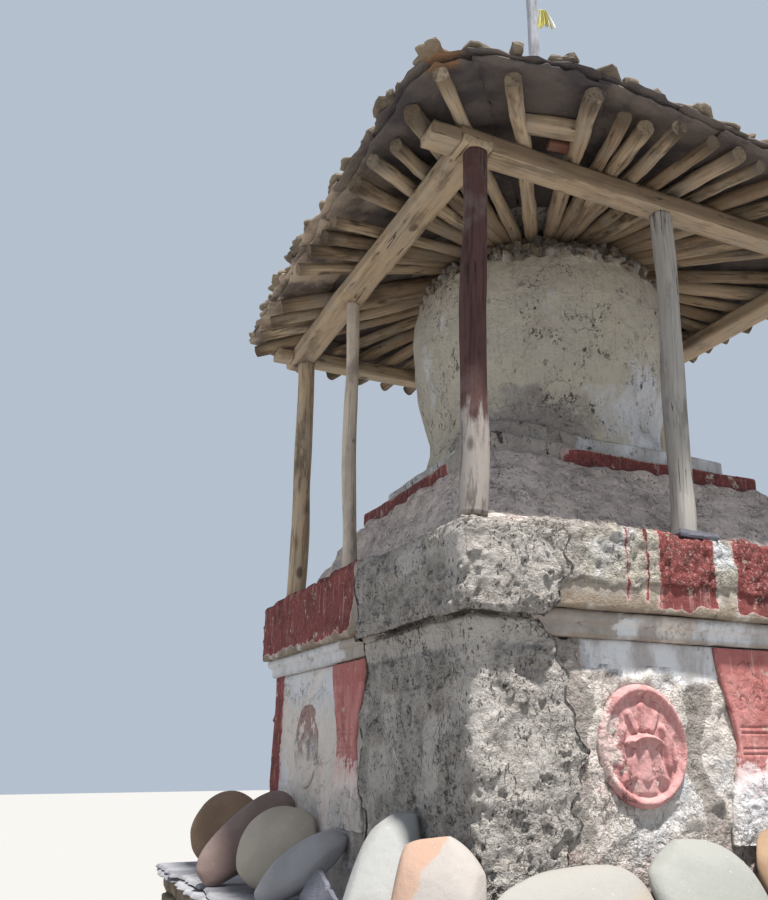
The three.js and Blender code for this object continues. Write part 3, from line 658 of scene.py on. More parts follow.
def polesTree():
    poles = Growth("roundPoles", [
        ("Axes", "Geometry", None), ("Sides", "Int", 14), ("Step", "Float", 0.03), ("Bend", "Float", 0.03),
        ("Lumps", "Float", 0.012), ("Splits", "Float", 0.010), ("Squareness", "Float", 2.8),
        ("Wood", "Material", None),
    ])
    given = poles.given
    seed, thick = poles.named("seed"), poles.named("girth")
    line = poles.add("GeometryNodeMeshToCurve", {"Mesh": given["Axes"]})
    line = poles.add("GeometryNodeResampleCurve", {"Curve": line, "Length": given["Step"]}, mode="LENGTH")
    spline = addNode(poles.tree, "GeometryNodeSplineParameter").outputs
    along, share = spline["Length"], spline["Factor"]
    # the next value is 1 at a rafter's inner end and 0 from halfway out, for painted shade under the roof
    innerShade = {"Value": share, "From Max": 0.55, "To Min": 1.0, "To Max": 0.0}
    innerShade = poles.add("ShaderNodeMapRange", innerShade)
    for name, value in {"along": along, "share": share, "innerShade": innerShade}.items():
        line = poles.store(line, name, value)
    seedSpot = poles.vector("SCALE", (7.3, 3.1, 5.7), seed)
    spot = poles.vector("ADD", seedSpot, poles.add("ShaderNodeCombineXYZ", {0: along}))
    bend = poles.vector("SCALE", poles.cloud(spot, 1.3, 1.0), given["Bend"])
    line = poles.moved(line, poles.vector("MULTIPLY", bend, (2.0, 2.0, 0.5)))
    swell = poles.mapped(poles.noise(spot, 3.0, 1.0), 0.82, 1.12)
    girth = poles.scalar("MULTIPLY", swell, poles.mapped(share, 1.05, 0.92))
    girth = poles.scalar("MULTIPLY", girth, thick)
    circle = poles.add("GeometryNodeCurvePrimitiveCircle", {"Resolution": given["Sides"], "Radius": 1.0})
    place = poles.add("GeometryNodeInputPosition")
    hewn = poles.moved(circle, poles.squared(place, given["Squareness"]), "Position")
    profile = poles.store(hewn, "section", place, "FLOAT_VECTOR")
    line = poles.add("GeometryNodeSetCurveTilt", {"Curve": line, "Tilt": poles.scalar("MULTIPLY", seed, 1.7)})
    body = {"Curve": line, "Profile Curve": profile, "Scale": girth, "Fill Caps": True}
    body = poles.add("GeometryNodeCurveToMesh", body)
    across = poles.vector("SCALE", poles.named("section", "FLOAT_VECTOR"), thick)
    lengthwise = poles.add("ShaderNodeCombineXYZ", {2: poles.named("along")})
    grain = poles.vector("ADD", poles.vector("ADD", across, lengthwise), seedSpot)
    body = poles.store(body, "grain", grain, "FLOAT_VECTOR")
    saved = poles.named("grain", "FLOAT_VECTOR")
    knobs = poles.noise(poles.vector("MULTIPLY", saved, (1, 1, 0.3)), 18.0, 2.0)
    knobs = poles.scalar("MULTIPLY", poles.mapped(knobs, -0.5, 0.5), given["Lumps"])
    rift = poles.noise(poles.vector("MULTIPLY", saved, (1, 1, 0.04)), 22.0, 1.0)
    rift = poles.scalar("MULTIPLY", poles.mapped(rift, 0.62, 0.70, "From"), given["Splits"])
    height = poles.scalar("SUBTRACT", knobs, rift)
    normal = poles.add("GeometryNodeInputNormal")
    return poles.done(poles.moved(body, poles.vector("SCALE", normal, height)), given["Wood"])


def grown(tree, places, settings):  # runs a tree on a bare mesh and returns the plain mesh it makes
    seedling = bpy.data.objects.new("seedling", places)
    scene.collection.objects.link(seedling)
    modifier = seedling.modifiers.new("grow", "NODES")
    modifier.node_group = tree
    for item in tree.interface.items_tree:
        if item.in_out == "INPUT" and item.name in settings:
            modifier[item.identifier] = settings[item.name]
    ready = seedling.evaluated_get(bpy.context.evaluated_depsgraph_get())
    mesh = bpy.data.meshes.new_from_object(ready)
    seedling.modifiers.remove(modifier)
    bpy.data.objects.remove(seedling)
    return mesh


trees = {"stones": laidStonesTree(), "poles": polesTree()}


def layStones(name, places, slot, settings, *nodes):  # places: (centre, half size, turn) for each stone
    centres, halves, turns = (np.array(column, float) for column in zip(*places))
    points = makeMesh(name, centres, [], {"halfSize": halves, "turn": turns})
    return addPiece(name, grown(trees["stones"], points, settings), settings["Stone"], slot, *nodes)


# Bodies on a square plan: rings of points round a square with rounded corners

spacing = {"wall": 0.020, "frieze": 0.015, "bank": 0.023, "steps": 0.022, "box": 0.024, "core": 0.060}


def squarePlan(half, radius, step):
    straight = max(2, int(round(2 * (half - radius) / step)))
    curve = max(2, int(round(radius * math.pi / 2 / step)))
    anchors, outward = [], []
    for side in range(4):
        angle = math.radians(90 * side - 90)
        normal = np.array([math.cos(angle), math.sin(angle)])
        tangent = np.array([-normal[1], normal[0]])
        for t in np.linspace(-1, 1, straight, endpoint=False):
            anchors.append(normal + tangent * t)
            outward.append(normal)
        for at in range(curve):
            turned = angle + math.pi / 2 * at / curve
            anchors.append(normal + tangent)
            outward.append(np.array([math.cos(turned), math.sin(turned)]))
    return np.array(anchors), np.array(outward)


def eased(line):  # rounds off the corners of a line of points
    return np.concatenate([line[:1], line[1:-1] * 0.5 + (line[:-2] + line[2:]) * 0.25, line[-1:]])


def squareRings(levels, step, radius=0.02, centre=(0, 0)):  # levels: half width, height, or a centre too
    anchors, outward = squarePlan(max(level[0] for level in levels), radius, step)
    levels = [(*level, *centre)[:4] for level in levels]
    halves, heights, *centre = eased(resampled(levels, step)).T[:, :, None]
    x, y = np.moveaxis(anchors * (halves[..., None] - radius) + outward * radius, -1, 0)
    return laid(x + centre[0], y + centre[1], heights)


def raised(rings, heights):  # moves rings outwards; the closed ends stay put
    heights[0] = heights[-1] = 0
    return rings + ringNormals(rings) * heights[..., None]


def roughen(rings, coarse, fine, pits, seed, size=0.12, extra=0.0):  # metres of each kind of roughness
    holes = rise(lumps(rings, 0.045, seed + 20), 0.45, 0.8) * rise(clods(rings, 0.3, 2, seed + 5), -0.1, 0.3)
    rough = coarse * clods(rings, size * 3, 2, seed) + fine * clods(rings, size, 3, seed + 7)
    return raised(rings, rough - pits * holes + extra)


def ringPiece(name, rings, finish, slot, nodes, fields):  # fields: one value, or one for every point
    still = np.zeros(rings.shape[:2])
    fields = {key: spread(still + values) for key, values in fields.items()}
    return bodyPiece(name, (*closedBody(rings), fields), finish, slot, *nodes)


def plasterPiece(name, rings, finish, slot, nodes, fields):
    plain = {"bare": 0, "paint": 0, "ochre": 0, "white": 0, "rough": 0.3}
    return ringPiece(name, rings, finish, slot, nodes, {**plain, **fields})


base = {
    "ledge": 0.80,
    "wallHalf": 1.50,
    "wallTop": 2.05,
    "mouldingTop": 2.17,
    "friezeHalf": 1.60,
    "friezeTop": 2.56,
    "mudEndFront": -1.06,
    "mudEndLeft": -0.29,
    "medallionHeight": 1.59,
    "reliefFoot": 1.16,
    "strip": (1.28, 1.31),  # from the middle of a face to its raised corner strips
    "bareColumn": (-0.37, -0.25),  # along the front, where the coat has fallen
    "smoothAbove": 1.89,  # where the wall's smooth white band starts
    "flakyAbove": 2.30,  # where the frieze's coat starts to flake
}
upperCentre = (-0.085, 0.050)


def whichFace(rings):  # (on front, on right, on back, on left) as yes or no
    x, y = rings[..., 0], rings[..., 1]
    front = (-y > np.abs(x)) & (y < 0)
    right = (x >= np.abs(y)) & ~front
    left = (-x > np.abs(y)) & ~front
    return front, right, ~(front | right | left), left


def besideMud(rings, wander, near, far):  # 1 at the near corner, falling to 0 about the mud repair's ends
    front, _, _, left = whichFace(rings)
    shares = []
    for face, along, end in ((front, 0, base["mudEndFront"]), (left, 1, base["mudEndLeft"])):
        shares.append(face * (1 - rise(rings[..., along] + wander, end + near, end + far)))
    return np.maximum(*shares)


def nearMud(rings, spill):  # 1 at and near the mud repair, 0 away from it
    return besideMud(rings, 0.10 * clods(rings, 0.35, 3, 31), 0, spill)


def behindMud(rings):  # 1 where the mud repair surely covers the surface
    return besideMud(rings, 0, -0.24, -0.16)


def makeWall():
    half, low, high = base["wallHalf"], base["ledge"], base["wallTop"]
    rings = squareRings([(half - 0.05, low), (half, low), (half, high), (half - 0.05, high)], spacing["wall"])
    x, y, z = np.moveaxis(rings, -1, 0)
    front, _, back, left = whichFace(rings)
    along = np.where(front | back, np.abs(x), np.abs(y))
    bare = nearMud(rings, 0.25)
    strip = rise(along, *base["strip"]) * (bare < 0.9)
    strip = strip * rise(z, base["reliefFoot"] - 0.01, base["reliefFoot"] + 0.02)
    lowRough = 1 - rise(z + 0.15 * clods(rings, 0.4, 2, 3), 1.05, 1.4)
    edge = base["smoothAbove"] + 0.05 * clods(rings, 0.10, 2, 6)
    smooth = rise(z, edge - 0.01, edge + 0.01) * (1 - rise(bare, 0.25, 0.60))
    rough = (1 - smooth) * np.where(left, 0.25 + 0.3 * lowRough, 0.95)
    clod = 0.8 * clods(rings, 0.075, 4, 12) + 0.6 * np.round(2 * clods(rings, 0.13, 4, 13)) / 2
    extra = 0.017 * strip + rough * (0.026 * clod + 0.004) + 0.010 * lowRough * clods(rings, 0.09, 3, 11)
    column = x + 0.03 * clods(rings, 0.1, 3, 17) + 0.09 * clods(rings, 0.3, 2, 21)
    column = front * within(column, *base["bareColumn"], 0.04) * (1 - smooth)
    extra -= 0.010 * column
    rings = roughen(rings, 0.006, 0.003, 0.006, 4, extra=extra - 0.03 * behindMud(rings))
    stains = rise(clods(rings * (1, 1, 0.5), 0.25, 3, 15), 0.0, 0.5) * (1 - smooth)
    paint = np.maximum(strip * 0.9, np.where(front, 0.34, 0.2) * np.maximum(stains, lowRough * 0.8))
    plasterPiece("wallPlaster", rings, "wall", "whitewash", ["base_wall"], {
        "bare": np.clip(bare * 0.9 + column + lowRough * np.where(left, 0.15, 0.35), 0, 1), "paint": paint,
        "white": np.where(left, 0.25 + 0.35 * rise(z, 1.5, 1.9), 0.20 + 0.80 * smooth), "rough": rough,
        # darker smooth band: partly dirt, partly painted shade under the frieze's overhang; darker bare
        # column: dirt
        "soil": np.maximum(smooth * np.where(left, 0.15, 0.9), 0.6 * column),
    })


def makeMoulding():
    half, low, high = base["wallHalf"], base["wallTop"], base["mouldingTop"]
    step = (low + high) / 2
    lower, higher = half + 0.035, half + 0.065
    levels = [(half - 0.02, low), (lower, low), (lower, step), (higher, step + 0.005), (higher, high)]
    rings = squareRings([*levels, (half - 0.02, high)], spacing["wall"])
    z = rings[..., 2]
    rings = roughen(rings, 0.003, 0.004, 0.003, 14, extra=-0.04 * behindMud(rings))
    ochre = 0.7 * within(z, low - 0.01, low + 0.015, 0.008) + 0.5 * within(z, high - 0.025, high, 0.008)
    left = whichFace(rings)[3]
    bands = rise(clods(rings * (1, 1, 0.3), 0.5, 2, 16), -0.3, 0.3)
    plasterPiece("mouldingPlaster", rings, "wall", "whitewash", ["moulding"], {
        "bare": nearMud(rings, 0.60) * 1.1, "ochre": ochre * np.where(left, 0.3, 1.0),
        "white": np.where(left, 0.9, 0.2 + 0.7 * bands), "rough": 0.1,
        # darker front moulding: partly dirt, partly painted shade under the frieze
        "soil": np.where(left, 0.25, np.clip(1.0 - 0.3 * bands + nearMud(rings, 0.5), 0, 1.3)),
    })


friezePaint = {
    "gaps": [(-0.215, -0.085), (0.66, 0.78)],  # white between the front's red blocks
    "hiddenGaps": [(-0.60, -0.50), (0.50, 0.62)],
    "blockStart": -0.575,
    "drips": [(-0.765, -0.742), (-0.655, -0.630)],  # narrow runs of red left of the first block
}


def paintedFrieze(rings):
    x, y, z = np.moveaxis(rings, -1, 0)
    front, right, back, _ = whichFace(rings)
    wander = 0.040 * clods(rings, 0.12, 4, 8)
    gaps = sum(within(x + wander, low, high, 0.015) for low, high in friezePaint["gaps"])
    start = friezePaint["blockStart"]
    onFront = rise(x + wander, start - 0.04, start + 0.04) * (1 - gaps)
    drips = sum(within(x + wander * 0.6, low, high, 0.008) for low, high in friezePaint["drips"])
    onFront = np.maximum(onFront, 0.75 * drips * rise(z, 2.18, 2.26))
    hidden = 1 - sum(within(y + wander, low, high, 0.015) for low, high in friezePaint["hiddenGaps"])
    paint = np.where(front, onFront, np.where(right | back, hidden, 1.0))
    ragged = z + 0.03 * clods(rings * (1, 1, 0.4), 0.08, 4, 9)
    paint = paint * rise(ragged, base["mouldingTop"] + 0.01, base["mouldingTop"] + 0.05)
    return paint * (1 - nearMud(rings, 0.05))


def makeFrieze():
    half, low, high = base["friezeHalf"], base["mouldingTop"], base["friezeTop"]
    levels = [
        (half - 0.12, low), (half - 0.005, low), (half, low + 0.02), (half, high - 0.02), (half - 0.02, high),
        (half - 0.14, high),
    ]
    rings = squareRings(levels, spacing["frieze"], 0.035)
    z = rings[..., 2]
    left = whichFace(rings)[3]
    top = rise(z, high - 0.08, high)
    edge = base["flakyAbove"] + 0.060 * clods(rings, 0.20, 5, 18) + 0.02 * lumps(rings, 0.035, 22)
    flaky = np.where(left, 0.3 + 0.5 * top, rise(z, edge - 0.01, edge + 0.01))
    paint = paintedFrieze(rings)
    lowBand = 1 - rise(z, low + 0.02, low + 0.10)
    flakes = 0.012 * billows(rings, 0.050, 2, 9) + 0.006 * np.round(2 * clods(rings, 0.08, 4, 10))
    extra = flaky * (0.006 + flakes) + 0.016 * top * clods(rings, 0.08, 3, 19) - 0.04 * behindMud(rings)
    extra += left * 0.009 * clods(rings * (1, 1, 0.35), 0.09, 4, 20)
    rings = roughen(rings, 0.007, 0.004, 0.007, 24, extra=extra)
    plasterPiece("friezePlaster", rings, "frieze", "red_plaster", ["frieze"], {
        "bare": np.clip(top * 0.3 + nearMud(rings, 0.1), 0, 1), "paint": paint * (0.94 - 0.12 * flaky),
        "ochre": 0.8 * lowBand + 0.5 * (paint < 0.3) * (1 - flaky), "white": np.where(left, 0.3, 0.35),
        # darker smooth lower part: partly dirt, partly painted shade
        "rough": np.where(left, 0.35, 0.15 + 0.85 * flaky), "soil": np.where(left, 0.4, 1.0 - flaky),
    })


mud = {
    "profile": [  # half width and height, from the ledge to the frieze's top
        (1.525, 0.80), (1.53, 1.2), (1.532, 2.0), (1.540, 2.05), (1.552, 2.09), (1.556, 2.108),
        (1.610, 2.117), (1.624, 2.150), (1.624, 2.46), (1.608, 2.52),
    ],
    "step": 0.009,
    "cornerRadius": 0.06,
    "columnsLeft": 138,
    "columnsRound": 14,
    "columnsFront": 58,
    "taper": 6,  # columns over which the skin thins to its ends
    "seam": 2.112,  # the crack under the bulge of the frieze
    "thickBelow": 0.045,
    "thickAbove": 0.060,
}


def makeMudRepair():
    # a skin round the near corner: the outer path is rough, the inner one lies on the masonry
    radius = mud["cornerRadius"]
    rings = []
    for half, z in resampled(mud["profile"], mud["step"]):
        wanderFront = 0.07 * math.sin(z * 5.1) + 0.03 * math.sin(z * 17) + 0.02 * math.sin(z * 41)
        wanderLeft = 0.06 * math.sin(z * 4.3 + 1) + 0.03 * math.sin(z * 19)
        wanderFront += 0.030 * clods(np.array([[0.1, 0.2, z]]), 0.09, 4, 61)[0]
        wanderLeft += 0.020 * clods(np.array([[0.3, 0.2, z]]), 0.09, 4, 62)[0]
        front = np.array([base["mudEndFront"] + wanderFront, -half])
        left = np.array([-half, base["mudEndLeft"] + wanderLeft])
        centre = np.array([-half + radius, -half + radius])
        turns = np.linspace(math.pi, math.pi * 1.5, mud["columnsRound"])
        corner = [centre + radius * np.array([math.cos(angle), math.sin(angle)]) for angle in turns]
        toCorner = np.linspace(left, corner[0], mud["columnsLeft"], endpoint=False)
        toFront = np.linspace(corner[-1], front, mud["columnsFront"])[1:]
        inner = half - (mud["thickBelow"] if z < base["wallTop"] else mud["thickAbove"])
        back = [
            (front[0], -inner), (-inner * 0.75, -inner), (-inner + 0.02, -inner + 0.02),
            (-inner, -inner * 0.6), (-inner, (left[1] - inner) / 2), (-inner, left[1]),
        ]
        path = np.concatenate([toCorner, corner, toFront, back])
        rings.append(np.column_stack([path, np.full(len(path), z)]))
    rings = np.array(rings)
    order = np.arange(rings.shape[1])
    toBack = len(order) - len(back) - order  # points left before the path turns to the inside
    outer = toBack > 0
    sides = np.minimum(1, order / mud["taper"]) * np.minimum(1, toBack.clip(0) / mud["taper"])
    z = rings[..., 2]
    cove = within(z, 1.99, 2.11, 0.02)
    trowelled = rise(clods(rings, 0.22, 2, 43), 0.10, 0.45)
    rough = (1 - 0.8 * trowelled) * (1 - 0.75 * cove)
    crumbs = 0.015 * clods(rings, 0.055, 4, 41) + 0.014 * np.round(2 * clods(rings, 0.10, 5, 47)) - 0.004
    amount = 0.014 * clods(rings, 0.30, 2, 45) + rough * crumbs
    amount -= 0.008 * rough * rise(lumps(rings, 0.04, 52), 0.45, 0.75)
    seam = within(z, mud["seam"] - 0.007, mud["seam"] + 0.005, 0.004)
    amount -= 0.024 * seam
    thinned = 0.008 + 0.020 * rise(clods(rings * (0, 0, 1), 0.20, 3, 63), -0.1, 0.3)  # how the ends run out
    amount = amount * (0.25 + 0.75 * sides) * outer - thinned * (1 - sides) * outer
    rings = raised(rings, amount)
    sway = 0.020 * clods(rings * (1, 1, 0), 0.35, 2, 53) + 0.006 * clods(rings * (1, 1, 0), 0.08, 2, 54)
    rings[..., 2] += sway * within(z, mud["seam"] - 0.03, mud["seam"] + 0.03, 0.07)
    ringPiece("mudRepair", rings, "mud", "raw_mud", ["mud_repair"], {"rough": rough, "seam": seam * outer})


# Reliefs: a height over the wall for every point of a small grid

hiddenFace = {"medallions": {"left": -0.70, "right": 0.70}, "top": 0.210, "waist": 0.115, "fine": False}
reliefFaces = {  # the fine grids are for the two faces that show
    "front": {
        "turn": 0, "medallions": {"left": -0.66, "right": 0.70}, "top": 0.190, "waist": 0.105, "fine": True,
    },
    "right": {"turn": 90, **hiddenFace},
    "back": {"turn": 180, **hiddenFace},
    "left": {"turn": 270, "medallions": {"left": -0.748}, "top": 0.260, "waist": 0.140, "fine": True},
}
medallion = {"radius": 0.267, "squeeze": 0.92, "rim": 0.040, "depth": 0.034, "field": 0.010}


def ontoFace(along, up, out, turn):  # from a face's own frame to the stupa's
    return laid(*aside(math.radians(turn - 90), base["wallHalf"] + out, along), up)


def capsule(x, y, start, end, width):  # distance inside a round-ended stroke, 0 outside
    direction = np.array(end) - start
    share = ((x - start[0]) * direction[0] + (y - start[1]) * direction[1]) / (direction @ direction)
    share = np.clip(share, 0, 1)
    gap = np.hypot(x - start[0] - share * direction[0], y - start[1] - share * direction[1])
    return rise(width - gap, 0, 0.010)


tailStrokes = [  # ribbons on each side of the bowl
    ((0.085, 0.070), (0.118, 0.020)), ((0.118, 0.020), (0.132, -0.045)), ((0.100, 0.030), (0.108, -0.062)),
]


def treasureBowl(x, y):  # a bowl on a draped cloth with pointed hems, in metres about the middle
    bowl = rise(0.078 - np.hypot(x, y - 0.055), 0, 0.008) * (1 - rise(y - 0.040 + 4.5 * x * x, 0, 0.008))
    lip = rise(0.012 - np.abs(y - 0.042 + 4.5 * x * x), 0, 0.006) * rise(0.088 - np.abs(x), 0, 0.008)
    flames = capsule(x, y, (0, 0.075), (0, 0.145), 0.022)
    for side in (-1, 1):
        flames = np.maximum(flames, capsule(x, y, (0.035 * side, 0.068), (0.062 * side, 0.120), 0.018))
    skirtHalf = 0.050 + 0.42 * (0.015 - y)
    hem = -0.110 - 0.020 * np.abs(((x / 0.052) % 2) - 1)
    skirt = rise(skirtHalf - np.abs(x), 0, 0.010) * rise(y - hem, 0, 0.008) * rise(0.0 - y, 0, 0.008)
    folds = 0.5 + 0.5 * np.cos(x / (0.12 - y * 0.35) * 14)
    under = rise(0.050 - np.abs(x), 0, 0.01) * within(y, -0.165, -0.11, 0.01)
    tails = np.zeros_like(x)
    for side in (-1, 1):
        for start, end in tailStrokes:
            tails = np.maximum(tails, capsule(x * side, y, start, end, 0.017))
    height = 0.018 * bowl + 0.024 * lip + 0.016 * flames + 0.010 * under
    height = np.maximum(height, skirt * (0.010 + 0.013 * folds))
    return np.maximum(height, tails * 0.018)


def makeMedallion(faceName, face, side, offset):
    radius = medallion["radius"]
    ringCount, spokes = (50, 150) if face["fine"] else (30, 96)
    radii = radius * np.concatenate([np.linspace(0.02, 1, ringCount), [1.0, 1.0]])
    r, angle = np.meshgrid(radii, around(spokes), indexing="ij")
    u, v = r * np.cos(angle), r * np.sin(angle)
    seed = len(faceName) * 7 + len(side)
    faded = faceName == "left"
    flat = laid(u + offset, v, 0)
    eroded = rise(clods(flat, 0.2, 3, seed + 2), 0.2, 0.5)
    if faceName == "front" and side == "left":  # the side next to the mud has lost its carving
        lost = 1 - rise(u + 0.05 * clods(flat, 0.1, 2, 9) + 0.3 * np.abs(v), -0.17, -0.09)
        eroded = 0.5 * eroded + 0.7 * lost
    rim = within(r, radius - medallion["rim"], radius - 0.010, 0.012)
    carved = rim * (medallion["depth"] - medallion["field"])
    carved = carved + treasureBowl(u * 0.74, v * 0.84 + 0.008) * (r < radius - medallion["rim"])
    carved = carved * (1 - 0.6 * eroded) * (0.55 if faded else 1.0)
    out = medallion["field"] + carved + 0.005 * eroded * billows(flat, 0.05, 2, seed + 4)
    out = out + 0.003 * clods(flat, 0.05, 3, seed) - 0.008 * rise(clods(flat, 0.12, 3, seed + 5), 0.35, 0.6)
    crumbly = rise(v + 0.20 * clods(flat, 0.06, 4, seed + 6), -0.10, 0.14) if faded else 0 * v
    out = out * (1 - 0.6 * crumbly) + 0.010 * crumbly * clods(flat, 0.06, 4, seed + 7)
    out = np.maximum(out, 0.001 if faded else 0.003)
    out[-2] *= 0.5
    out[-1] = -0.004
    edge = laid(np.cos(angle), np.sin(angle), 0)
    wobble = 1 + 0.012 * lumps(edge, 0.6, seed) + (0.05 * clods(edge, 0.4, 3, seed) - 0.06 if faded else 0)
    along, up = u * medallion["squeeze"] * wobble + offset, v * wobble + base["medallionHeight"]
    rings = ontoFace(along, up, out, face["turn"])
    name = f"medallion_{faceName}_{side}"
    paint = 0.42 * crumbly if faded else 0.66 - 0.30 * eroded
    plasterPiece(name + "_relief", rings, "medallion", "faded_relief" if faded else "red_relief", [name], {
        "bare": 0.3 * crumbly, "paint": paint, "white": 0.28,
        "rough": (0.3 if faded else 0.1) + 0.6 * np.maximum(eroded, crumbly), "ochre": 0.7 * crumbly,
        "soil": 0.9 * crumbly,
    })


def pilasterOutline(v, top, waist):  # half width at a height from 0 to 1
    pinch = np.where(v < 0.5, rise(1 - v * 2, 0.0, 1.0), rise(v * 2 - 1, 0.0, 1.0))
    return waist + (top - waist) * pinch**0.8


def pilasterCarving(x, v, half):  # x in metres from the middle, v from 0 at the foot to 1 at the top
    grooves = np.zeros_like(x)
    for at in (0.445, 0.475, 0.555, 0.585):
        grooves += rise(0.007 - np.abs(v - at), 0, 0.006) * rise(half * 0.8 - np.abs(x), 0, 0.01)
    height = v * 0.88
    for side in (-1, 1):
        for turn in range(26):  # a scroll on each side, cut as a string of short strokes
            angle = turn * 0.33
            reach = 0.010 + 0.0022 * turn
            spot = (side * (0.055 + reach * math.cos(angle)), 0.635 + reach * math.sin(angle))
            grooves += rise(0.006 - np.hypot(x - spot[0], height - spot[1]), 0, 0.005)
    for start, end in [((-0.04, 0.33), (0.04, 0.33)), ((-0.04, 0.33), (0, 0.26)), ((0.04, 0.33), (0, 0.26))]:
        grooves += capsule(x, height, start, end, 0.005)
    return np.clip(grooves, 0, 1)


def makePilaster(faceName, face):
    foot, top = base["reliefFoot"], base["wallTop"] - 0.01
    rows, columns = (140, 44) if face["fine"] else (80, 26)
    share = np.linspace(0, 1, rows)[:, None]
    half = pilasterOutline(share, face["top"], face["waist"])
    across = half * np.linspace(-1, 1, columns)
    level = share + 0 * across
    flat = laid(across, level, face["turn"])
    out = 0.022 - 0.007 * pilasterCarving(across, level, half)
    out = out + 0.003 * clods(flat, 0.05, 3, 61)
    worn = 1 - rise(share + 0.10 * clods(flat, 0.15, 2, 62), 0.14, 0.34)
    out = out + 0.006 * worn * (billows(flat, 0.05, 2, 63) - 0.4)
    out[:, [0, -1]] = 0.012
    up = foot + share * (top - foot)
    front = ontoFace(across, up, out, face["turn"])
    back = ontoFace(across[:, [-1, 0]], up, -0.004, face["turn"])
    worn, level = (np.concatenate([field, field[:, [0, 0]]], axis=1) for field in (worn, level))
    name = f"pilaster_{faceName}"
    # the step near the top brings paint to full, so the top is painted darker red as the shade under the
    # moulding
    paint = 0.24 + 0.52 * rise(level, 0.18, 0.60) + 0.26 * rise(level, 0.84, 0.88) - 0.10 * worn
    plasterPiece(name + "_relief", np.concatenate([front, back], axis=1), "relief", "red_relief", [name], {
        "bare": 0.2 * worn, "paint": paint, "white": 0.1 if faceName == "left" else 0.4,
        "rough": 0.08 + 0.7 * worn,
    })


def makeReliefs():
    for faceName, face in reliefFaces.items():
        makePilaster(faceName, face)
        for side, offset in face["medallions"].items():
            makeMedallion(faceName, face, side, offset)


# Bank, steps and dome

upper = {
    "bankTop": 3.088,
    "redHalf": 0.974,
    "redTop": 3.205,
    "whiteHalf": 0.848,
    "whiteTop": 3.336,
    "crownRadius": 0.720,
    "crown": 4.800,
}


def fromNearStep(rings):  # how far each point is, in plan, from the near corner of the red step
    x, y = (rings[..., axis] - upperCentre[axis] + upper["redHalf"] for axis in range(2))
    return np.hypot(x, y)


def makeBank():
    foot, top, step = base["friezeTop"], upper["bankTop"], upper["redHalf"]
    levels = [(1.43, foot), (1.472, foot), (1.46, foot + 0.012), (1.39, foot + 0.035)]
    levels += [(step + 0.05, top - 0.02, *upperCentre), (step - 0.03, top, *upperCentre)]
    rings = squareRings(levels, spacing["bank"], 0.08)
    ledges = 0.030 * clods(rings * (1, 1, 2.2), 0.24, 4, 71) + 0.024 * billows(rings, 0.11, 3, 73)
    near = 1 - rise(fromNearStep(rings), 0.15, 0.85)
    foothold = 0.8 + 0.2 * rise(rings[..., 2], foot, foot + 0.1)
    rings = roughen(rings, 0.016, 0.006, 0.012, 72, extra=(ledges + 0.02 * near) * foothold)
    rough = 0.55 + 0.45 * rise(clods(rings, 0.4, 2, 74), -0.2, 0.3)
    ringPiece("bankMud", rings, "bank", "raw_mud", ["mud_bank"], {"rough": rough})


def wornCorner(rings, end):  # 1 at the steps' near corner, which has crumbled, and 0 beyond end
    return 1 - rise(fromNearStep(rings) + 0.15 * clods(rings, 0.3, 2, 5), 0.35, end)


def makeSteps():
    low, mid, high = upper["bankTop"], upper["redTop"], upper["whiteTop"]
    red, white = upper["redHalf"], upper["whiteHalf"]
    levels = [(red - 0.05, low), (red, low), (red, mid), (white - 0.1, mid)]
    rings = squareRings(levels, spacing["steps"], 0.05, upperCentre)
    near = wornCorner(rings, 0.62)
    rings = roughen(rings, 0.012, 0.006, 0.008, 81, extra=0.025 * near)
    ragged = rings[..., 2] + 0.02 * clods(rings, 0.15, 2, 82)
    paint = within(ragged, low - 0.1, mid - 0.006, 0.010) * (1 - near)
    plasterPiece("redStep", rings, "upper", "red_plaster", ["red_step"], {
        "bare": np.clip(near * 1.6, 0, 1), "paint": paint, "rough": 0.35, "soil": 0.8,
    })
    levels = [(white, mid), (white + 0.06, mid), (white, mid + 0.035), (white, high), (white - 0.15, high)]
    rings = squareRings(levels, spacing["steps"], 0.07, upperCentre)
    near = wornCorner(rings, 0.75)
    rings = roughen(rings, 0.012, 0.005, 0.006, 91, extra=0.035 * near)
    plasterPiece("whiteStep", rings, "upper", "whitewash", ["white_step"], {
        "bare": np.clip(near * 1.6 - 0.3, -0.5, 1), "white": 0.8 - 0.8 * near, "rough": 0.15 + 0.4 * near,
        "soil": 0.7,
    })


domeProfile = [  # radius and height, from the foot to the crown
    (0.60, 3.336), (0.840, 3.336), (0.832, 3.400), (0.800, 3.500), (0.795, 3.600), (0.840, 3.740),
    (0.885, 3.920), (0.912, 4.120), (0.922, 4.340), (0.905, 4.500), (0.865, 4.640), (0.795, 4.745),
    (0.720, 4.800), (0.560, 4.815), (0.530, 4.830), (0.530, 4.905),
]


def turnedRings(profile, centre, columns, step):
    radii, heights = eased(eased(resampled(profile, step))).T[:, :, None]
    angles = around(columns)
    return laid(centre[0] + radii * np.cos(angles), centre[1] + radii * np.sin(angles), heights)


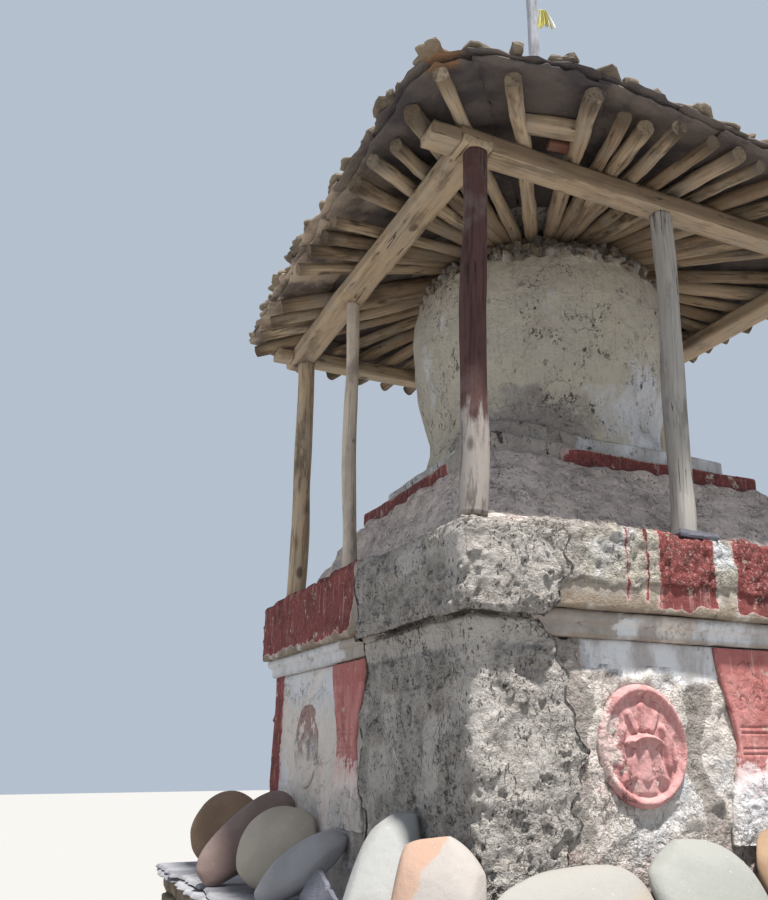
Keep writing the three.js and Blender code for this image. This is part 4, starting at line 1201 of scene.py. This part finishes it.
def makeDome():
    rings = turnedRings(domeProfile, upperCentre, 300, 0.019)
    z = rings[..., 2]
    smear = 1 - rise(z + 0.14 * clods(rings, 0.3, 3, 4), 3.50, 3.78)
    smear = smear * (1 - rise(fromNearStep(rings), 0.50, 1.05))
    crown = rise(z + 0.06 * clods(rings, 0.12, 3, 76), 4.55, 4.66)
    clumps = crown * (0.075 * billows(rings, 0.080, 3, 77) - 0.036)
    extra = 0.040 * smear * (0.6 + 0.4 * clods(rings, 0.2, 2, 8)) + clumps
    rings = roughen(rings, 0.014, 0.006, 0.010, 101, size=0.10, extra=extra)
    right = rise(rings[..., 0] - rings[..., 1] + 0.3 * clods(rings, 0.4, 2, 6), 0.4, 0.9)
    right = 0.8 * right * (1 - rise(z + 0.25 * clods(rings, 0.4, 2, 7), 3.50, 4.00))
    plasterPiece("domePlaster", rings, "upper", "whitewash", ["dome"], {
        "bare": np.clip(smear * 0.95 + crown * 1.2 - 0.25, -0.25, 1),
        "white": np.clip(right * 1.1 - smear, 0, 1),
        "rough": 0.22 + 0.75 * np.maximum(crown, 0.5 * smear),
        # darker crown under the rafters: partly earth, partly painted shade
        "ochre": 0.45 * rise(clods(rings * (1, 1, 0.6), 0.35, 2, 102), 0.1, 0.6), "soil": 0.6 * crown,
    })


# Canopy: places in polar form round the dome's axis, as a roof that falls from the crown to the beams

canopy = {
    "beamUnderside": 4.507,
    "beamTop": 4.612,
    "beamEndDrop": 0.035,
    "left": (-1.566, -1.380),
    "right": (1.152, 1.328),
    "front": (-1.566, -1.406),
    "back": (1.330, 1.480),
    "rafterRadius": 0.045,
    "rafterSpread": 0.006,
    "rafterInner": 0.560,
    "overhangs": {"front": 0.500, "right": 0.360, "back": 0.360, "left": 0.360},
    "overhangSpread": 0.060,
    "edgeMargin": 0.070,
    "poles": {"Bend": 0.030, "Lumps": 0.018, "Splits": 0.008, "Sides": 15, "Step": 0.032},
    "slateInner": 0.540,
    "slateLift": 0.112,  # of the lowest slabs over the rafters' undersides
    "slateStep": 0.034,  # from one layer to the next
}
eave = [
    (-1.95, -1.72), (-1.92, -1.86), (-1.73, -1.96), (-1.43, -2.09), (-0.93, -2.14), (-0.45, -2.13),
    (0.03, -2.09), (0.70, -2.12), (1.30, -2.05), (1.56, -1.80), (1.58, -0.90), (1.54, 0.00),
    (1.59, 0.90), (1.56, 1.60), (1.35, 1.80), (0.40, 1.77), (-0.50, 1.80), (-1.50, 1.78),
    (-1.80, 1.70), (-1.90, 1.55), (-1.95, 0.70), (-1.98, 0.00), (-1.975, -0.60), (-1.96, -1.20),
]
beamRing = [
    (canopy["left"][0], canopy["front"][0]), (canopy["right"][1], canopy["front"][0]),
    (canopy["right"][1], canopy["back"][1]), (canopy["left"][0], canopy["back"][1]),
]
bearings = {
    "front": [-124.9, -115.5, -111, -107.5, -103.5, -97.5, -91.5, -87, -80, -73, -66, -59, -52],
    "right": [-40 + 7.2 * index for index in range(12)],
    "back": [50 + 7.2 * index for index in range(12)],
    "left": [139, 146.5, 153.5, 160, 178.5, 185.5, 191, 197, 207, 213, 217.5, 222, 227.5],
}
fanBounds = {"front": (-129, -45), "right": (-45, 46), "back": (46, 136), "left": (136, 231)}


def reachTo(outline, bearing):  # how far an outline lies from the dome's axis that way
    dx, dy = math.cos(math.radians(bearing)), math.sin(math.radians(bearing))
    farthest = 0
    for start, end in zip(outline, outline[1:] + outline[:1]):
        ex, ey = end[0] - start[0], end[1] - start[1]
        sx, sy = start[0] - upperCentre[0], start[1] - upperCentre[1]
        across = dx * ey - dy * ex
        if abs(across) > 1e-9:
            distance, share = (sx * ey - sy * ex) / across, (sx * dy - sy * dx) / across
            if distance > 0 and -1e-9 <= share <= 1 + 1e-9:
                farthest = max(farthest, distance)
    return farthest


def fall(bearing):  # how steeply the roof falls that way
    return (upper["crown"] - canopy["beamTop"]) / (reachTo(beamRing, bearing) - upper["crownRadius"])


def roofPoint(bearing, radius, lift=0.0):  # on the rafters' undersides, or that much above them
    angle = math.radians(bearing)
    z = upper["crown"] - (radius - upper["crownRadius"]) * fall(bearing) + lift
    return np.array([*(upperCentre + np.array(aside(angle, radius, 0))), z])


def makeRafters():
    settings = {**canopy["poles"], "Wood": finishes["timber"]}
    numbers = itertools.count()
    for side, places in bearings.items():
        points, edges, girths, seeds = [], [], [], []
        for bearing, index in zip(places, numbers):
            girth = canopy["rafterRadius"] + canopy["rafterSpread"] * math.sin(index * 2.4)
            overhang = canopy["overhangs"][side] + canopy["overhangSpread"] * math.sin(index * 1.7)
            outer = min(reachTo(beamRing, bearing) + overhang, reachTo(eave, bearing) - canopy["edgeMargin"])
            lift = girth * math.hypot(1, fall(bearing))
            edges.append((len(points), len(points) + 1))
            points += [roofPoint(bearing, canopy["rafterInner"], lift), roofPoint(bearing, outer, lift)]
            girths += [girth] * 2
            seeds += [float(index)] * 2
        axes = makeMesh("axes", points, [], {"girth": girths, "seed": seeds}, edges=edges)
        mesh = grown(trees["poles"], axes, settings)
        addPiece(f"rafterPoles_{side}", mesh, finishes["timber"], "weathered_timber", f"rafters_{side}")


def slab(corners, thickness, seed, step, shade):
    # a split slate over a convex outline of (x, y, z) points, flat below and above, with a chipped edge
    corners = np.array(corners)
    loop = resampled(np.concatenate([corners, corners[:1]]), step)[:-1]
    centre = loop.mean(axis=0)
    normal = np.cross(loop[len(loop) // 3] - centre, loop[2 * len(loop) // 3] - centre)
    normal = unit(normal) * (1 if normal[2] > 0 else -1)
    away = loop - centre
    away = away / np.linalg.norm(away, axis=1, keepdims=True)
    chips = 0.030 * clods(loop, 0.15, 3, seed) + 0.014 * np.round(2.5 * clods(loop, 0.09, 3, seed + 1))
    loop = loop + away * (chips - 0.018)[:, None]
    rings = []
    section = [  # share of the way out, share of the thickness, and how far the rim stands out
        (0.02, 0, 0), (0.5, 0, 0), (0.97, 0, 0), (1.0, 0.35, 0.004), (0.985, 0.75, 0), (0.96, 1, 0),
        (0.6, 1, 0), (0.02, 1, 0),
    ]
    for share, level, pull in section:
        ring = centre + (loop - centre) * share + normal * level * thickness + away * pull
        bump = 0.004 * clods(ring, 0.16, 3, seed + 3) * (0 if share < 0.1 else 1)
        rings.append(ring + normal * bump[:, None])
    points, faces = closedBody(np.array(rings))
    fields = {"slab": np.full(len(points), shade), "lichen": np.zeros(len(points))}
    return points, facingOut(points, faces), fields


def facingOut(points, faces):  # turns a closed body the right way out
    points = np.asarray(points) - np.asarray(points).mean(axis=0)
    total = sum(np.dot(points[face[0]], np.cross(points[face[1]], points[face[2]])) for face in faces)
    return faces if total > 0 else [list(reversed(face)) for face in faces]


slateCourses = [(0.70, 1.0, 5), (0.38, 0.78, 4), (0.0, 0.46, 3)]  # from, to, as shares of the way out; slates
lichenSpots = [((-1.83, -1.86), 0.24, 1.0), ((-0.35, -2.12), 0.22, 0.4)]  # place, reach and strength


def roofLichen(points):
    spots = []
    for place, reach, share in lichenSpots:
        spots.append(share * (1 - np.linalg.norm(points[:, :2] - place, axis=1) / reach))
    return np.clip(np.max(spots, axis=0), 0, 1)


def courseSlab(random, row, layer, low, high, inner, outer, at, depth):  # one slate; row 0 is the eave's
    jitter = 0.025 if row else 0.012
    setBack = random.uniform(0.0, 0.07 - 0.05 * layer) if row == 0 else random.uniform(-0.04, 0.04)
    corners = []
    for bearing in np.linspace(low, high, 5):
        whole = reachTo(eave, bearing) - canopy["slateInner"]
        reach = canopy["slateInner"] + whole * outer - setBack + random.uniform(-jitter, jitter * 0.5)
        corners.append((bearing, reach))
    for bearing in np.linspace(high, low, 3):
        whole = reachTo(eave, bearing) - canopy["slateInner"]
        reach = canopy["slateInner"] + whole * inner + random.uniform(-0.04, 0.04)
        corners.append((bearing, max(reach, canopy["slateInner"])))
    lift = canopy["slateLift"] + 0.008 * row + 0.014 * (at % 2) + canopy["slateStep"] * layer
    outline = [roofPoint(bearing, reach, lift) for bearing, reach in corners]
    thickness = random.uniform(0.015, 0.024)
    step = 0.100 if row else 0.040
    # courses past the eave are kept dark: painted shade deeper under the roof
    shade = random.uniform(0.8, 1) * (depth if row == 0 else max(depth, 0.85))
    points, faces, fields = slab(outline, thickness, layer * 50 + row * 9 + at, step, shade)
    return points, faces, {**fields, "lichen": roofLichen(points)}


def makeSlates():
    # three courses of big slates on each side, then a second layer that breaks the joints
    random = np.random.default_rng(11)
    for side, (first, last) in fanBounds.items():
        bodies = []
        for layer in range(2):
            for row, (inner, outer, count) in enumerate(slateCourses):
                cuts = np.linspace(first, last, count + layer + 1)
                cuts[1:-1] += random.uniform(-3, 3, count + layer - 1)
                overlap = 1.5 if row == 0 else 2.5
                for at in range(count + layer):
                    low = cuts[at] - overlap * random.uniform(0.2, 1)
                    high = cuts[at + 1] + overlap * random.uniform(0.2, 1)
                    depth = rise((low + high) / 2, 192, 212) if side == "left" else 1.0  # light far left
                    bodies.append(courseSlab(random, row, layer, low, high, inner, outer, at, depth))
        bodyPiece(f"roofSlates_{side}", joined(bodies), "slate", "slate", f"slates_{side}")


# Posts and beams: rings along an axis, with the grain running along them

def timberBody(rings, axisPlaces, seed):  # rings (rows, columns, 3); grain: across, across, along
    lengthwise = np.concatenate([[0], np.cumsum(np.linalg.norm(np.diff(axisPlaces, axis=0), axis=1))])
    axis = unit(axisPlaces[-1] - axisPlaces[0])
    side = unit(np.cross(axis, (0.3, 0.5, 0.81)))
    away = rings - rings.mean(axis=1, keepdims=True)
    grain = laid(away @ side, away @ np.cross(axis, side), lengthwise[:, None])
    grain = grain + np.array([7.3, 3.1, 5.7]) * seed
    splits = rise(clods(grain * (1, 1, 0.05), 0.05, 2, 3), 0.46, 0.66)
    height = 0.005 * clods(grain * (1, 1, 0.2), 0.06, 3, 9) - 0.007 * splits
    points, faces = closedBody(raised(rings, height))
    return points, facingOut(points, faces), {"grain": spread(grain)}


posts = {  # foot and head in plan, foot and head radius, how square, and the wood
    "near_corner": ((-1.491, -1.477), (-1.455, -1.495), 0.066, 0.062, 2.2, "darkTimber"),
    "front_middle": ((-0.267, -1.458), (-0.221, -1.480), 0.054, 0.050, 4.5, "coolTimber"),
    "front_right": ((1.252, -1.478), (1.240, -1.486), 0.062, 0.058, 3.0, "greyTimber"),
    "right_middle": ((1.228, 0.362), (1.240, 0.350), 0.050, 0.046, 2.2, "greyTimber"),
    "back_right": ((1.252, 1.394), (1.240, 1.405), 0.062, 0.058, 2.5, "timber"),
    "back_middle": ((-0.104, 1.396), (-0.120, 1.405), 0.050, 0.046, 2.2, "timber"),
    "back_left": ((-1.431, 1.391), (-1.442, 1.397), 0.068, 0.064, 2.2, "timber"),
    "left_middle": ((-1.429, 0.278), (-1.455, 0.290), 0.046, 0.043, 2.2, "greyTimber"),
}


def makePosts():
    low, high = base["friezeTop"], canopy["beamUnderside"]
    share = np.linspace(0, 1, 96)[:, None]
    for seed, (name, (foot, head, footRadius, headRadius, square, wood)) in enumerate(posts.items()):
        cosine, sine = roundedSquare(around(22), square)
        bend = 0.012 * np.sin(share * math.pi) * math.sin(seed * 2.3) + 0.005 * np.sin(share * 9 + seed)
        radius = footRadius + (headRadius - footRadius) * share
        radius = radius * (1 + 0.035 * np.sin(share * 13 + seed * 2))
        x = foot[0] + (head[0] - foot[0]) * share + bend + radius * cosine
        y = foot[1] + (head[1] - foot[1]) * share - bend * 0.6 + radius * sine
        rings = laid(x, y, low + (high - low) * share)
        points, faces, fields = timberBody(rings, rings.mean(axis=1), seed + 1)
        # pale foot, partly the post's weathering and partly painted sunlight
        fields["foot"] = 1 - rise((points[:, 2] - low) / (high - low), 0.07, 0.40)
        slot = "dark_timber" if wood == "darkTimber" else "weathered_timber"
        bodyPiece(f"post_{name}_timber", (points, faces, fields), wood, slot, f"post_{name}")


beams = {  # the way it runs, from, to, and its seed
    "front": ("x", -1.728, 1.480, 21),
    "back": ("x", -1.690, 1.450, 22),
    "left": ("y", -1.566, 1.560, 23),
    "right": ("y", -1.680, 1.600, 24),
}


def makeBeams():
    low, high, drop = canopy["beamUnderside"], canopy["beamTop"], canopy["beamEndDrop"]
    lap, halfTall = (low + high) / 2, (high - low) / 2
    cosine, sine = roundedSquare(around(36) + math.pi / 36, 8)
    for name, (way, start, end, seed) in beams.items():
        near, far = canopy[name]
        crossing = [canopy["left"], canopy["right"]] if way == "x" else [canopy["front"], canopy["back"]]
        stops = [*np.linspace(start, end, 130)]
        for crossLow, crossHigh in crossing:
            stops += [crossLow - 0.001, crossLow, crossHigh, crossHigh + 0.001]
        stops = np.unique([at for at in stops if start <= at <= end])
        rings = []
        for at in stops:
            wane = 1 - 0.03 * (1 + math.sin(at * 2.1 + seed))
            across = (near + far) / 2 + (far - near) / 2 * cosine * wane + 0.006 * math.sin(at * 1.7 + seed)
            z = lap + halfTall * sine * (0.98 + 0.02 * math.sin(at * 3.3 + seed))
            for crossLow, crossHigh in crossing:
                if crossLow <= at <= crossHigh:
                    z = np.maximum(z, lap) if way == "x" else np.minimum(z, lap)
            if at < crossing[0][0] or at > crossing[1][1]:
                z = np.minimum(z, high - drop)
            rings.append(laid(at, across, z) if way == "x" else laid(across, at, z))
        axis = np.zeros((len(stops), 3))
        axis[:, 0 if way == "x" else 1] = stops
        rings = np.array(rings)
        points, faces, fields = timberBody(rings, axis, seed)
        outside = (rings[..., 1] < near + 0.02) * (name == "front")
        fields["foot"] = spread(0.8 * outside)  # painted shade on the front beam's outer face, under the overhang
        body = points, faces, fields
        bodyPiece(f"beam_{name}_timber", body, "beamTimber", "weathered_timber", f"beam_{name}")


packing = {  # short timbers wedged over the front beam: ends as bearing, radius and lift; half sizes; wood
    "block": ((-124.3, 2.06, 0.064), (-116.0, 2.00, 0.058), (0.046, 0.038), "beamTimber"),
    "wedge": ((-120.6, 1.88, 0.058), (-117.2, 1.85, 0.054), (0.036, 0.026), "redTimber"),
}


def makePacking():
    cosine, sine = roundedSquare(around(28), 7)
    for seed, (name, (start, end, (halfWidth, halfDepth), wood)) in enumerate(packing.items(), start=51):
        start, end = roofPoint(*start), roofPoint(*end)
        across = unit(np.cross(end - start, (0, 0, 1)))
        axis = start + (end - start) * np.linspace(0, 1, 30)[:, None]
        section = (cosine * halfWidth)[:, None] * across + (sine * halfDepth)[:, None] * np.array([0, 0, 1])
        body = timberBody(axis[:, None] + section, axis, seed)
        bodyPiece(f"packing_{name}", body, wood, "weathered_timber")


# Roof earth, box, cap, cone, mast and rag

finial = {
    "centre": (-0.016, 0.024),
    "earthTop": 5.090,
    "boxHalf": 0.430,
    "bandHalf": 0.450,
    "bandFoot": 5.385,
    "boxTop": 5.490,
    "capTop": 5.600,
    "capCourses": [(0.520, 5.490, 5.545), (0.430, 5.545, 5.600)],  # reach, underside and top
    "coneProfile": [
        (0.100, 5.600), (0.285, 5.600), (0.292, 5.680), (0.250, 5.850), (0.170, 6.000), (0.110, 6.090),
        (0.045, 6.090),
    ],
    "mastFoot": 5.800,
    "mastTop": 7.750,
    "mastRadius": 0.046,
}


def makeEarth():
    top = finial["earthTop"]
    profile = [
        (0.30, 4.950), (0.95, 4.860), (1.04, 4.910), (1.005, 4.962), (0.94, 5.005), (0.64, top - 0.015),
        (0.52, top), (0.20, top),
    ]
    rings = turnedRings(profile, upperCentre, 150, 0.040)
    calm = 1 - rise(rings[..., 2], top - 0.03, top - 0.005)
    rings = roughen(rings, 0.010, 0.004, 0.004, 131, extra=0.03 * clods(rings, 0.14, 3, 132) * calm)
    points, faces = closedBody(rings)
    body = points, facingOut(points, faces), {"rough": spread(0.3 + 0.5 * calm)}
    bodyPiece("roofEarth", body, "mud", "raw_mud", "roof_earth")


def makeFinial():
    cx, cy = finial["centre"]
    foot, bandFoot, top = finial["earthTop"], finial["bandFoot"], finial["boxTop"]
    half, band = finial["boxHalf"], finial["bandHalf"]
    levels = [(half - 0.1, foot), (half, foot), (half, bandFoot), (band, bandFoot + 0.002), (band, top)]
    rings = squareRings([*levels, (band - 0.15, top)], spacing["box"], 0.03, finial["centre"])
    rings = roughen(rings, 0.007, 0.004, 0.005, 141)
    paint = within(rings[..., 2], bandFoot + 0.01, top + 0.1, 0.01)
    fields = {"bare": -0.3, "paint": paint, "white": 0.7}
    plasterPiece("harmikaBox", rings, "upper", "whitewash", ["harmika"], fields)
    rings = turnedRings(finial["coneProfile"], finial["centre"], 96, 0.018)
    rings = roughen(rings, 0.014, 0.008, 0.008, 151, size=0.09)
    plasterPiece("finialCone", rings, "upper", "whitewash", ["finial_cone"], {"white": 0.5, "rough": 0.6})
    places = []
    random = np.random.default_rng(5)
    depth = 0.18
    for reach, low, high in finial["capCourses"]:
        tall = (high - low) / 2
        for side in range(4):
            angle = math.pi / 2 * side
            for at in (-0.66, 0, 0.66):
                out = reach - depth + 0.004 * random.uniform(-1, 1)
                x, y = aside(angle, out, at * reach)
                turn = angle + random.uniform(-0.03, 0.03)
                spot = (cx + x, cy + y, low + tall + 0.002 * side)
                places.append((spot, (depth, reach * 0.34, tall * 0.92), (0, 0, turn)))
        places.append(((cx, cy, low + tall), (reach * 0.8, reach * 0.8, tall * 0.84), (0, 0, 0)))
    layStones("harmikaCap", places, "slate", {
        "Facets": 6, "Squareness": 9.0, "Warp": 0.03, "Warp Size": 0.2, "Warp Axes": (1, 1, 0.15),
        "Chipping": 0.006, "Stone": finishes["slate"],
    }, "harmika_cap")


def makeMast():
    cx, cy = finial["centre"]
    low, high, radius = finial["mastFoot"], finial["mastTop"], finial["mastRadius"]
    share = np.linspace(0, 1, 90)[:, None]
    cosine, sine = roundedSquare(around(20), 4)
    across = radius * (0.97 - 0.16 * share) * (1 + 0.03 * np.sin(share * 21))
    x = cx + across * cosine + 0.006 * np.sin(share * 5)
    rings = laid(x, cy + across * sine, low + (high - low) * share)
    bodyPiece("mastPole", timberBody(rings, rings.mean(axis=1), 31), "mast", "mast_timber", "mast")


rag = {"width": 0.34, "length": 0.30, "top": 7.545, "turn": -22.5, "seat": 0.043, "thickness": 0.0015}


def makeRag():
    # gathered at a knot on the mast, and hanging from there in folds
    rows, columns = 40, 56
    u, v = np.meshgrid(np.linspace(-0.5, 0.5, columns), np.linspace(0, 1, rows))
    gather = 0.16 + 0.38 * v
    out = rag["seat"] + 0.004 + 0.035 + u * rag["width"] * gather + 0.050 * v * (1 - 0.4 * v)
    fold = 0.016 * np.sin(u * 26 + 1.2 * v) * (0.35 + 0.65 * v) + 0.006 * np.sin(u * 57 + 4 * v)
    down = rag["top"] - rag["length"] * 0.60 * v - 0.020 * np.abs(u) * v + 0.012 * np.sin(u * 9 + 2) * v
    x, y = aside(math.radians(rag["turn"]), out, fold)
    points = laid(finial["centre"][0] + x, finial["centre"][1] + y, down).reshape(-1, 3)
    faces = gridFaces(rows, columns).reshape(-1, columns, 4)[:, :-1].reshape(-1, 4).tolist()
    piece = bodyPiece("mastRag", (points, faces), "rag", "cloth", "mast_cloth")
    piece.modifiers.new("thickness", "SOLIDIFY").thickness = rag["thickness"]


# Plinth walling, coping and the stones on the ledge

plinth = {"foot": 2.14, "top": 2.09, "underside": 0.745, "core": 0.045}


def makePlinth():
    random = np.random.default_rng(3)
    foot, top, underside = plinth["foot"], plinth["top"], plinth["underside"]
    places = []
    heights = [0.0]
    while underside - heights[-1] > 0.03:
        rest = underside - heights[-1]
        tall = min(random.uniform(0.055, 0.12), rest)
        heights.append(heights[-1] + (rest if rest - tall < 0.05 else tall))
    for low, high in itertools.pairwise(heights):
        reach = foot + (top - foot) * (low + high) / 2 / underside
        for side in range(4):
            angle = math.pi / 2 * side
            at = -reach + random.uniform(0.0, 0.1)
            while at < reach - 0.03:
                wide = min(random.uniform(0.12, 0.46), reach - at)
                depth = random.uniform(0.07, 0.11)
                out = reach - depth + random.uniform(-0.018, 0.004)
                x, y = aside(angle, out, at + wide / 2)
                tilt = random.uniform(-0.03, 0.03)
                half = (depth, wide / 2 - 0.004, (high - low) / 2 - 0.002)
                turn = (tilt, 0, angle + random.uniform(-0.02, 0.02))
                places.append(((x, y, (low + high) / 2), half, turn))
                at += wide
    walling = layStones("plinthWalling", places, "rubble", {
        "Facets": 4, "Squareness": 5.0, "Warp": 0.035, "Warp Size": 0.12, "Warp Axes": (1, 1, 0.5),
        "Chipping": 0.012, "Stone": finishes["rubble"],
    }, "plinth")
    for vertex in walling.data.vertices:  # nothing dips below the ground or into the coping
        vertex.co.z = min(max(vertex.co.z, 0.0), underside)
    core = plinth["core"]
    levels = [(foot - 0.12, 0), (foot - core, 0), (top - core, underside), (top - 0.12, underside)]
    rings = roughen(squareRings(levels, spacing["core"]), 0.01, 0.006, 0.0, 161)
    rings[..., 2] = np.clip(rings[..., 2], 0, underside)
    ringPiece("plinthCore", rings, "mud", "rubble", [], {"rough": 1})


coping = {
    "half": 2.15,
    "layers": [(0.745, 0.773, 0.03), (0.773, 0.800, 0.07)],  # underside, top, how far a slate may lie back
    "margin": 0.002,
    "joint": 0.004,
}


def makeCoping():
    random = np.random.default_rng(8)
    half, margin, joint = coping["half"], coping["margin"], coping["joint"]
    inner = base["wallHalf"] - 0.04
    bodies = []
    for side, (low, high, setBack) in itertools.product(range(4), coping["layers"]):
        angle = math.pi / 2 * side - math.pi / 2
        corner = inner if side % 2 else half  # two sides run through at the corners, two lie between them
        at = -half
        while at < half - 0.05:
            wide = random.uniform(0.42, 0.78)
            wide = half - at if half - at - wide < 0.3 else wide
            outer = half - random.uniform(0.0, setBack)
            start, end = max(at, -corner) + joint, min(at + wide, corner) - joint
            if end - start > 0.07:
                wander = [random.uniform(-0.02, 0.02) for _ in range(3)]
                corners = [(start, inner), (start + wander[0], outer + wander[1])]
                corners += [(end + wander[2], outer), (end, inner)]
                outline = []
                for along, out in corners:
                    out = min(out, half - margin)
                    along = max(-half + margin, min(half - margin, along))
                    outline.append((*aside(angle, out, along), low))
                thick = (high - low) * random.uniform(0.86, 0.98)
                bodies.append(slab(outline, thick, side * 17 + len(bodies), 0.055, random.uniform(0, 1)))
            at += wide
    bodyPiece("copingSlates", joined(bodies), "coping", "slate", "coping", smooth=False)


ledgeStones = {  # half height, width and depth, squareness, lean, tilt and turn in degrees, and the two tones
    "brown_far": ((0.255, 0.235, 0.088), 2.3, (24, 25, -29), (136, 112, 92), (112, 90, 74)),
    "mauve": ((0.355, 0.155, 0.080), 2.3, (24, 46, -14), (130, 113, 108), (116, 96, 90)),
    "grey_round": ((0.243, 0.253, 0.079), 2.2, (25, 12, -43), (172, 163, 150), (156, 144, 130)),
    "grey_long": ((0.278, 0.130, 0.072), 2.3, (38, 45, -57), (158, 156, 158), (144, 141, 142)),
    "light_tall": ((0.341, 0.147, 0.082), 2.6, (42, 1, -50), (150, 150, 148), (139, 137, 134)),
    "peach": ((0.234, 0.191, 0.080), 3.6, (25, -5, -43), (166, 136, 118), (158, 151, 146)),
    "cream": ((0.185, 0.395, 0.088), 2.6, (38, -8, -2), (146, 143, 138), (152, 138, 122)),
    "green_grey": ((0.241, 0.308, 0.088), 2.4, (37, 3, 8), (141, 142, 137), (131, 133, 127)),
    "brown": ((0.256, 0.240, 0.086), 2.3, (35, -10, -6), (150, 125, 100), (124, 98, 76)),
}


def makeLedgeStones():
    random = np.random.default_rng(23)
    polar = np.linspace(0.02, math.pi - 0.02, 42)[:, None]
    ball = laid(np.sin(polar) * np.cos(around(60)), np.sin(polar) * np.sin(around(60)), -np.cos(polar))
    for seed, (name, (halves, square, (lean, tilt, turn), body, veil)) in enumerate(ledgeStones.items()):
        halfHeight, halfWidth, halfDepth = halves
        size = (np.abs(ball) ** np.array([square, 2.0, square])).sum(axis=-1) ** (-1 / square)
        shape = 1 + 0.05 * clods(ball + seed, 0.9, 2, seed) + 0.012 * clods(ball + seed, 0.3, 2, seed + 1)
        shaped = ball * (size * np.clip(shape, 0.9, 1.06))[..., None]
        for normal in random.normal(size=(7, 3)) * (1, 0.5, 1):  # a few flats, where the stone has split
            over = (shaped @ unit(normal) - random.uniform(0.90, 0.96)).clip(0)
            shaped = shaped - 0.7 * over[..., None] * unit(normal)
        rings = shaped * (halfWidth, halfDepth, halfHeight)
        leaning = Matrix.Rotation(math.radians(-lean), 3, "X") @ Matrix.Rotation(math.radians(tilt), 3, "Y")
        turned = Matrix.Rotation(math.radians(turn), 3, "Z") @ leaning
        rings = rings @ np.array(turned).T
        low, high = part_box("stone_" + name)
        corner, far = rings.reshape(-1, 3).min(axis=0), rings.reshape(-1, 3).max(axis=0)
        rings = rings + (np.array(low + high) - corner - far) / 2
        rings[..., 2] += low[2] - rings[..., 2].min()
        points, faces = closedBody(rings)
        split = rise(ball[..., 0] - 0.45 * ball[..., 2] + 0.2 * clods(ball, 0.4, 3, 5), -0.32, -0.26)
        fields = {"veil": spread(split if name == "peach" else 0 * split)}
        mesh = makeMesh(name, points, facingOut(points, faces), fields)
        finish = riverStone("riverStone_" + name, tone(*body), tone(*veil), 0.15 if name == "peach" else 0.6)
        addPiece("riverStone_" + name, mesh, finish, "river_stone", "stone_" + name)


loose = {
    "crownCount": 260,
    "crownHeights": (4.50, 4.64, 4.745, 4.80, 4.90),
    "crownRadii": (0.905, 0.865, 0.795, 0.720, 0.580),
    "roofCount": 110,
    "edgeCount": 170,
    "stones": {
        "Facets": 4, "Squareness": 6.0, "Warp": 0.030, "Warp Size": 0.045, "Warp Axes": (1, 1, 0.5),
        "Chipping": 0.012, "Smooth": False,
    },
    "postSlate": [(-0.42, -1.61, 2.560), (-0.15, -1.61, 2.556), (-0.12, -1.47, 2.560), (-0.38, -1.46, 2.566)],
    "leaningSlate": [
        (-1.90, -0.45, 0.803), (-1.87, -0.95, 0.803), (-1.85, -0.90, 0.960), (-1.81, -0.54, 1.040),
        (-1.88, -0.44, 0.930),
    ],
}


def makeLooseStones():
    # rubble that shows in the crown between the rafters and on the roof, and two odd slates
    random = np.random.default_rng(17)
    settings = {**loose["stones"], "Stone": finishes["rubble"]}
    places = []
    for _ in range(loose["crownCount"]):
        bearing = math.radians(random.uniform(0, 360))
        size = random.uniform(0.010, 0.036)
        z = random.uniform(4.58, 4.84)
        radius = np.interp(z, loose["crownHeights"], loose["crownRadii"]) + random.uniform(-0.02, 0.005)
        spot = (upperCentre[0] + radius * math.cos(bearing), upperCentre[1] + radius * math.sin(bearing), z)
        half = (size, size * random.uniform(0.5, 0.9), size * random.uniform(0.4, 0.7))
        places.append((spot, half, tuple(random.uniform(-3, 3, 3))))
    layStones("crownStones", places, "rubble", settings)
    places = []
    for _ in range(loose["roofCount"]):
        bearing = random.uniform(0, 360)
        reach = reachTo(eave, bearing) - 0.05 - abs(random.normal(0, 0.22))
        if reach < 1.0:
            continue
        size = random.uniform(0.015, 0.050)
        spot = roofPoint(bearing, reach, 0.175 + size * 0.25)
        half = (size, size * random.uniform(0.6, 1), size * 0.4)
        places.append((spot, half, (0, 0, random.uniform(-3, 3))))
    for _ in range(loose["edgeCount"]):  # the crust of earth and flat stones along the eave
        bearing = random.uniform(0, 360)
        size = random.uniform(0.040, 0.120)
        tall = random.uniform(0.010, 0.024)
        spot = roofPoint(bearing, reachTo(eave, bearing) - size - random.uniform(-0.02, 0.08), 0.165 + tall)
        half = (size, size * random.uniform(0.5, 0.9), tall)
        places.append((spot, half, (0, 0, random.uniform(-3, 3))))
    layStones("roofRubble", places, "rubble", settings)
    for key, thick, shade in (("postSlate", 0.036, 0.0), ("leaningSlate", 0.028, 1.0)):
        bodyPiece(key, slab(loose[key], thick, 71, 0.030, shade), "darkSlate", "slate", smooth=False)


stages = {
    "base": (makeWall, makeMoulding, makeFrieze, makeMudRepair, makeReliefs),
    "bank, steps and dome": (makeBank, makeSteps, makeDome),
    "plinth and ledge": (makePlinth, makeCoping, makeLedgeStones),
    "timber": (makePosts, makeBeams, makeRafters, makePacking),
    "roof and finial": (makeSlates, makeEarth, makeLooseStones, makeFinial, makeMast, makeRag),
    "camera and light": (placeCamera, lightStudio),
}
for stage, makers in stages.items():
    print(stage)
    for make in makers:
        make()
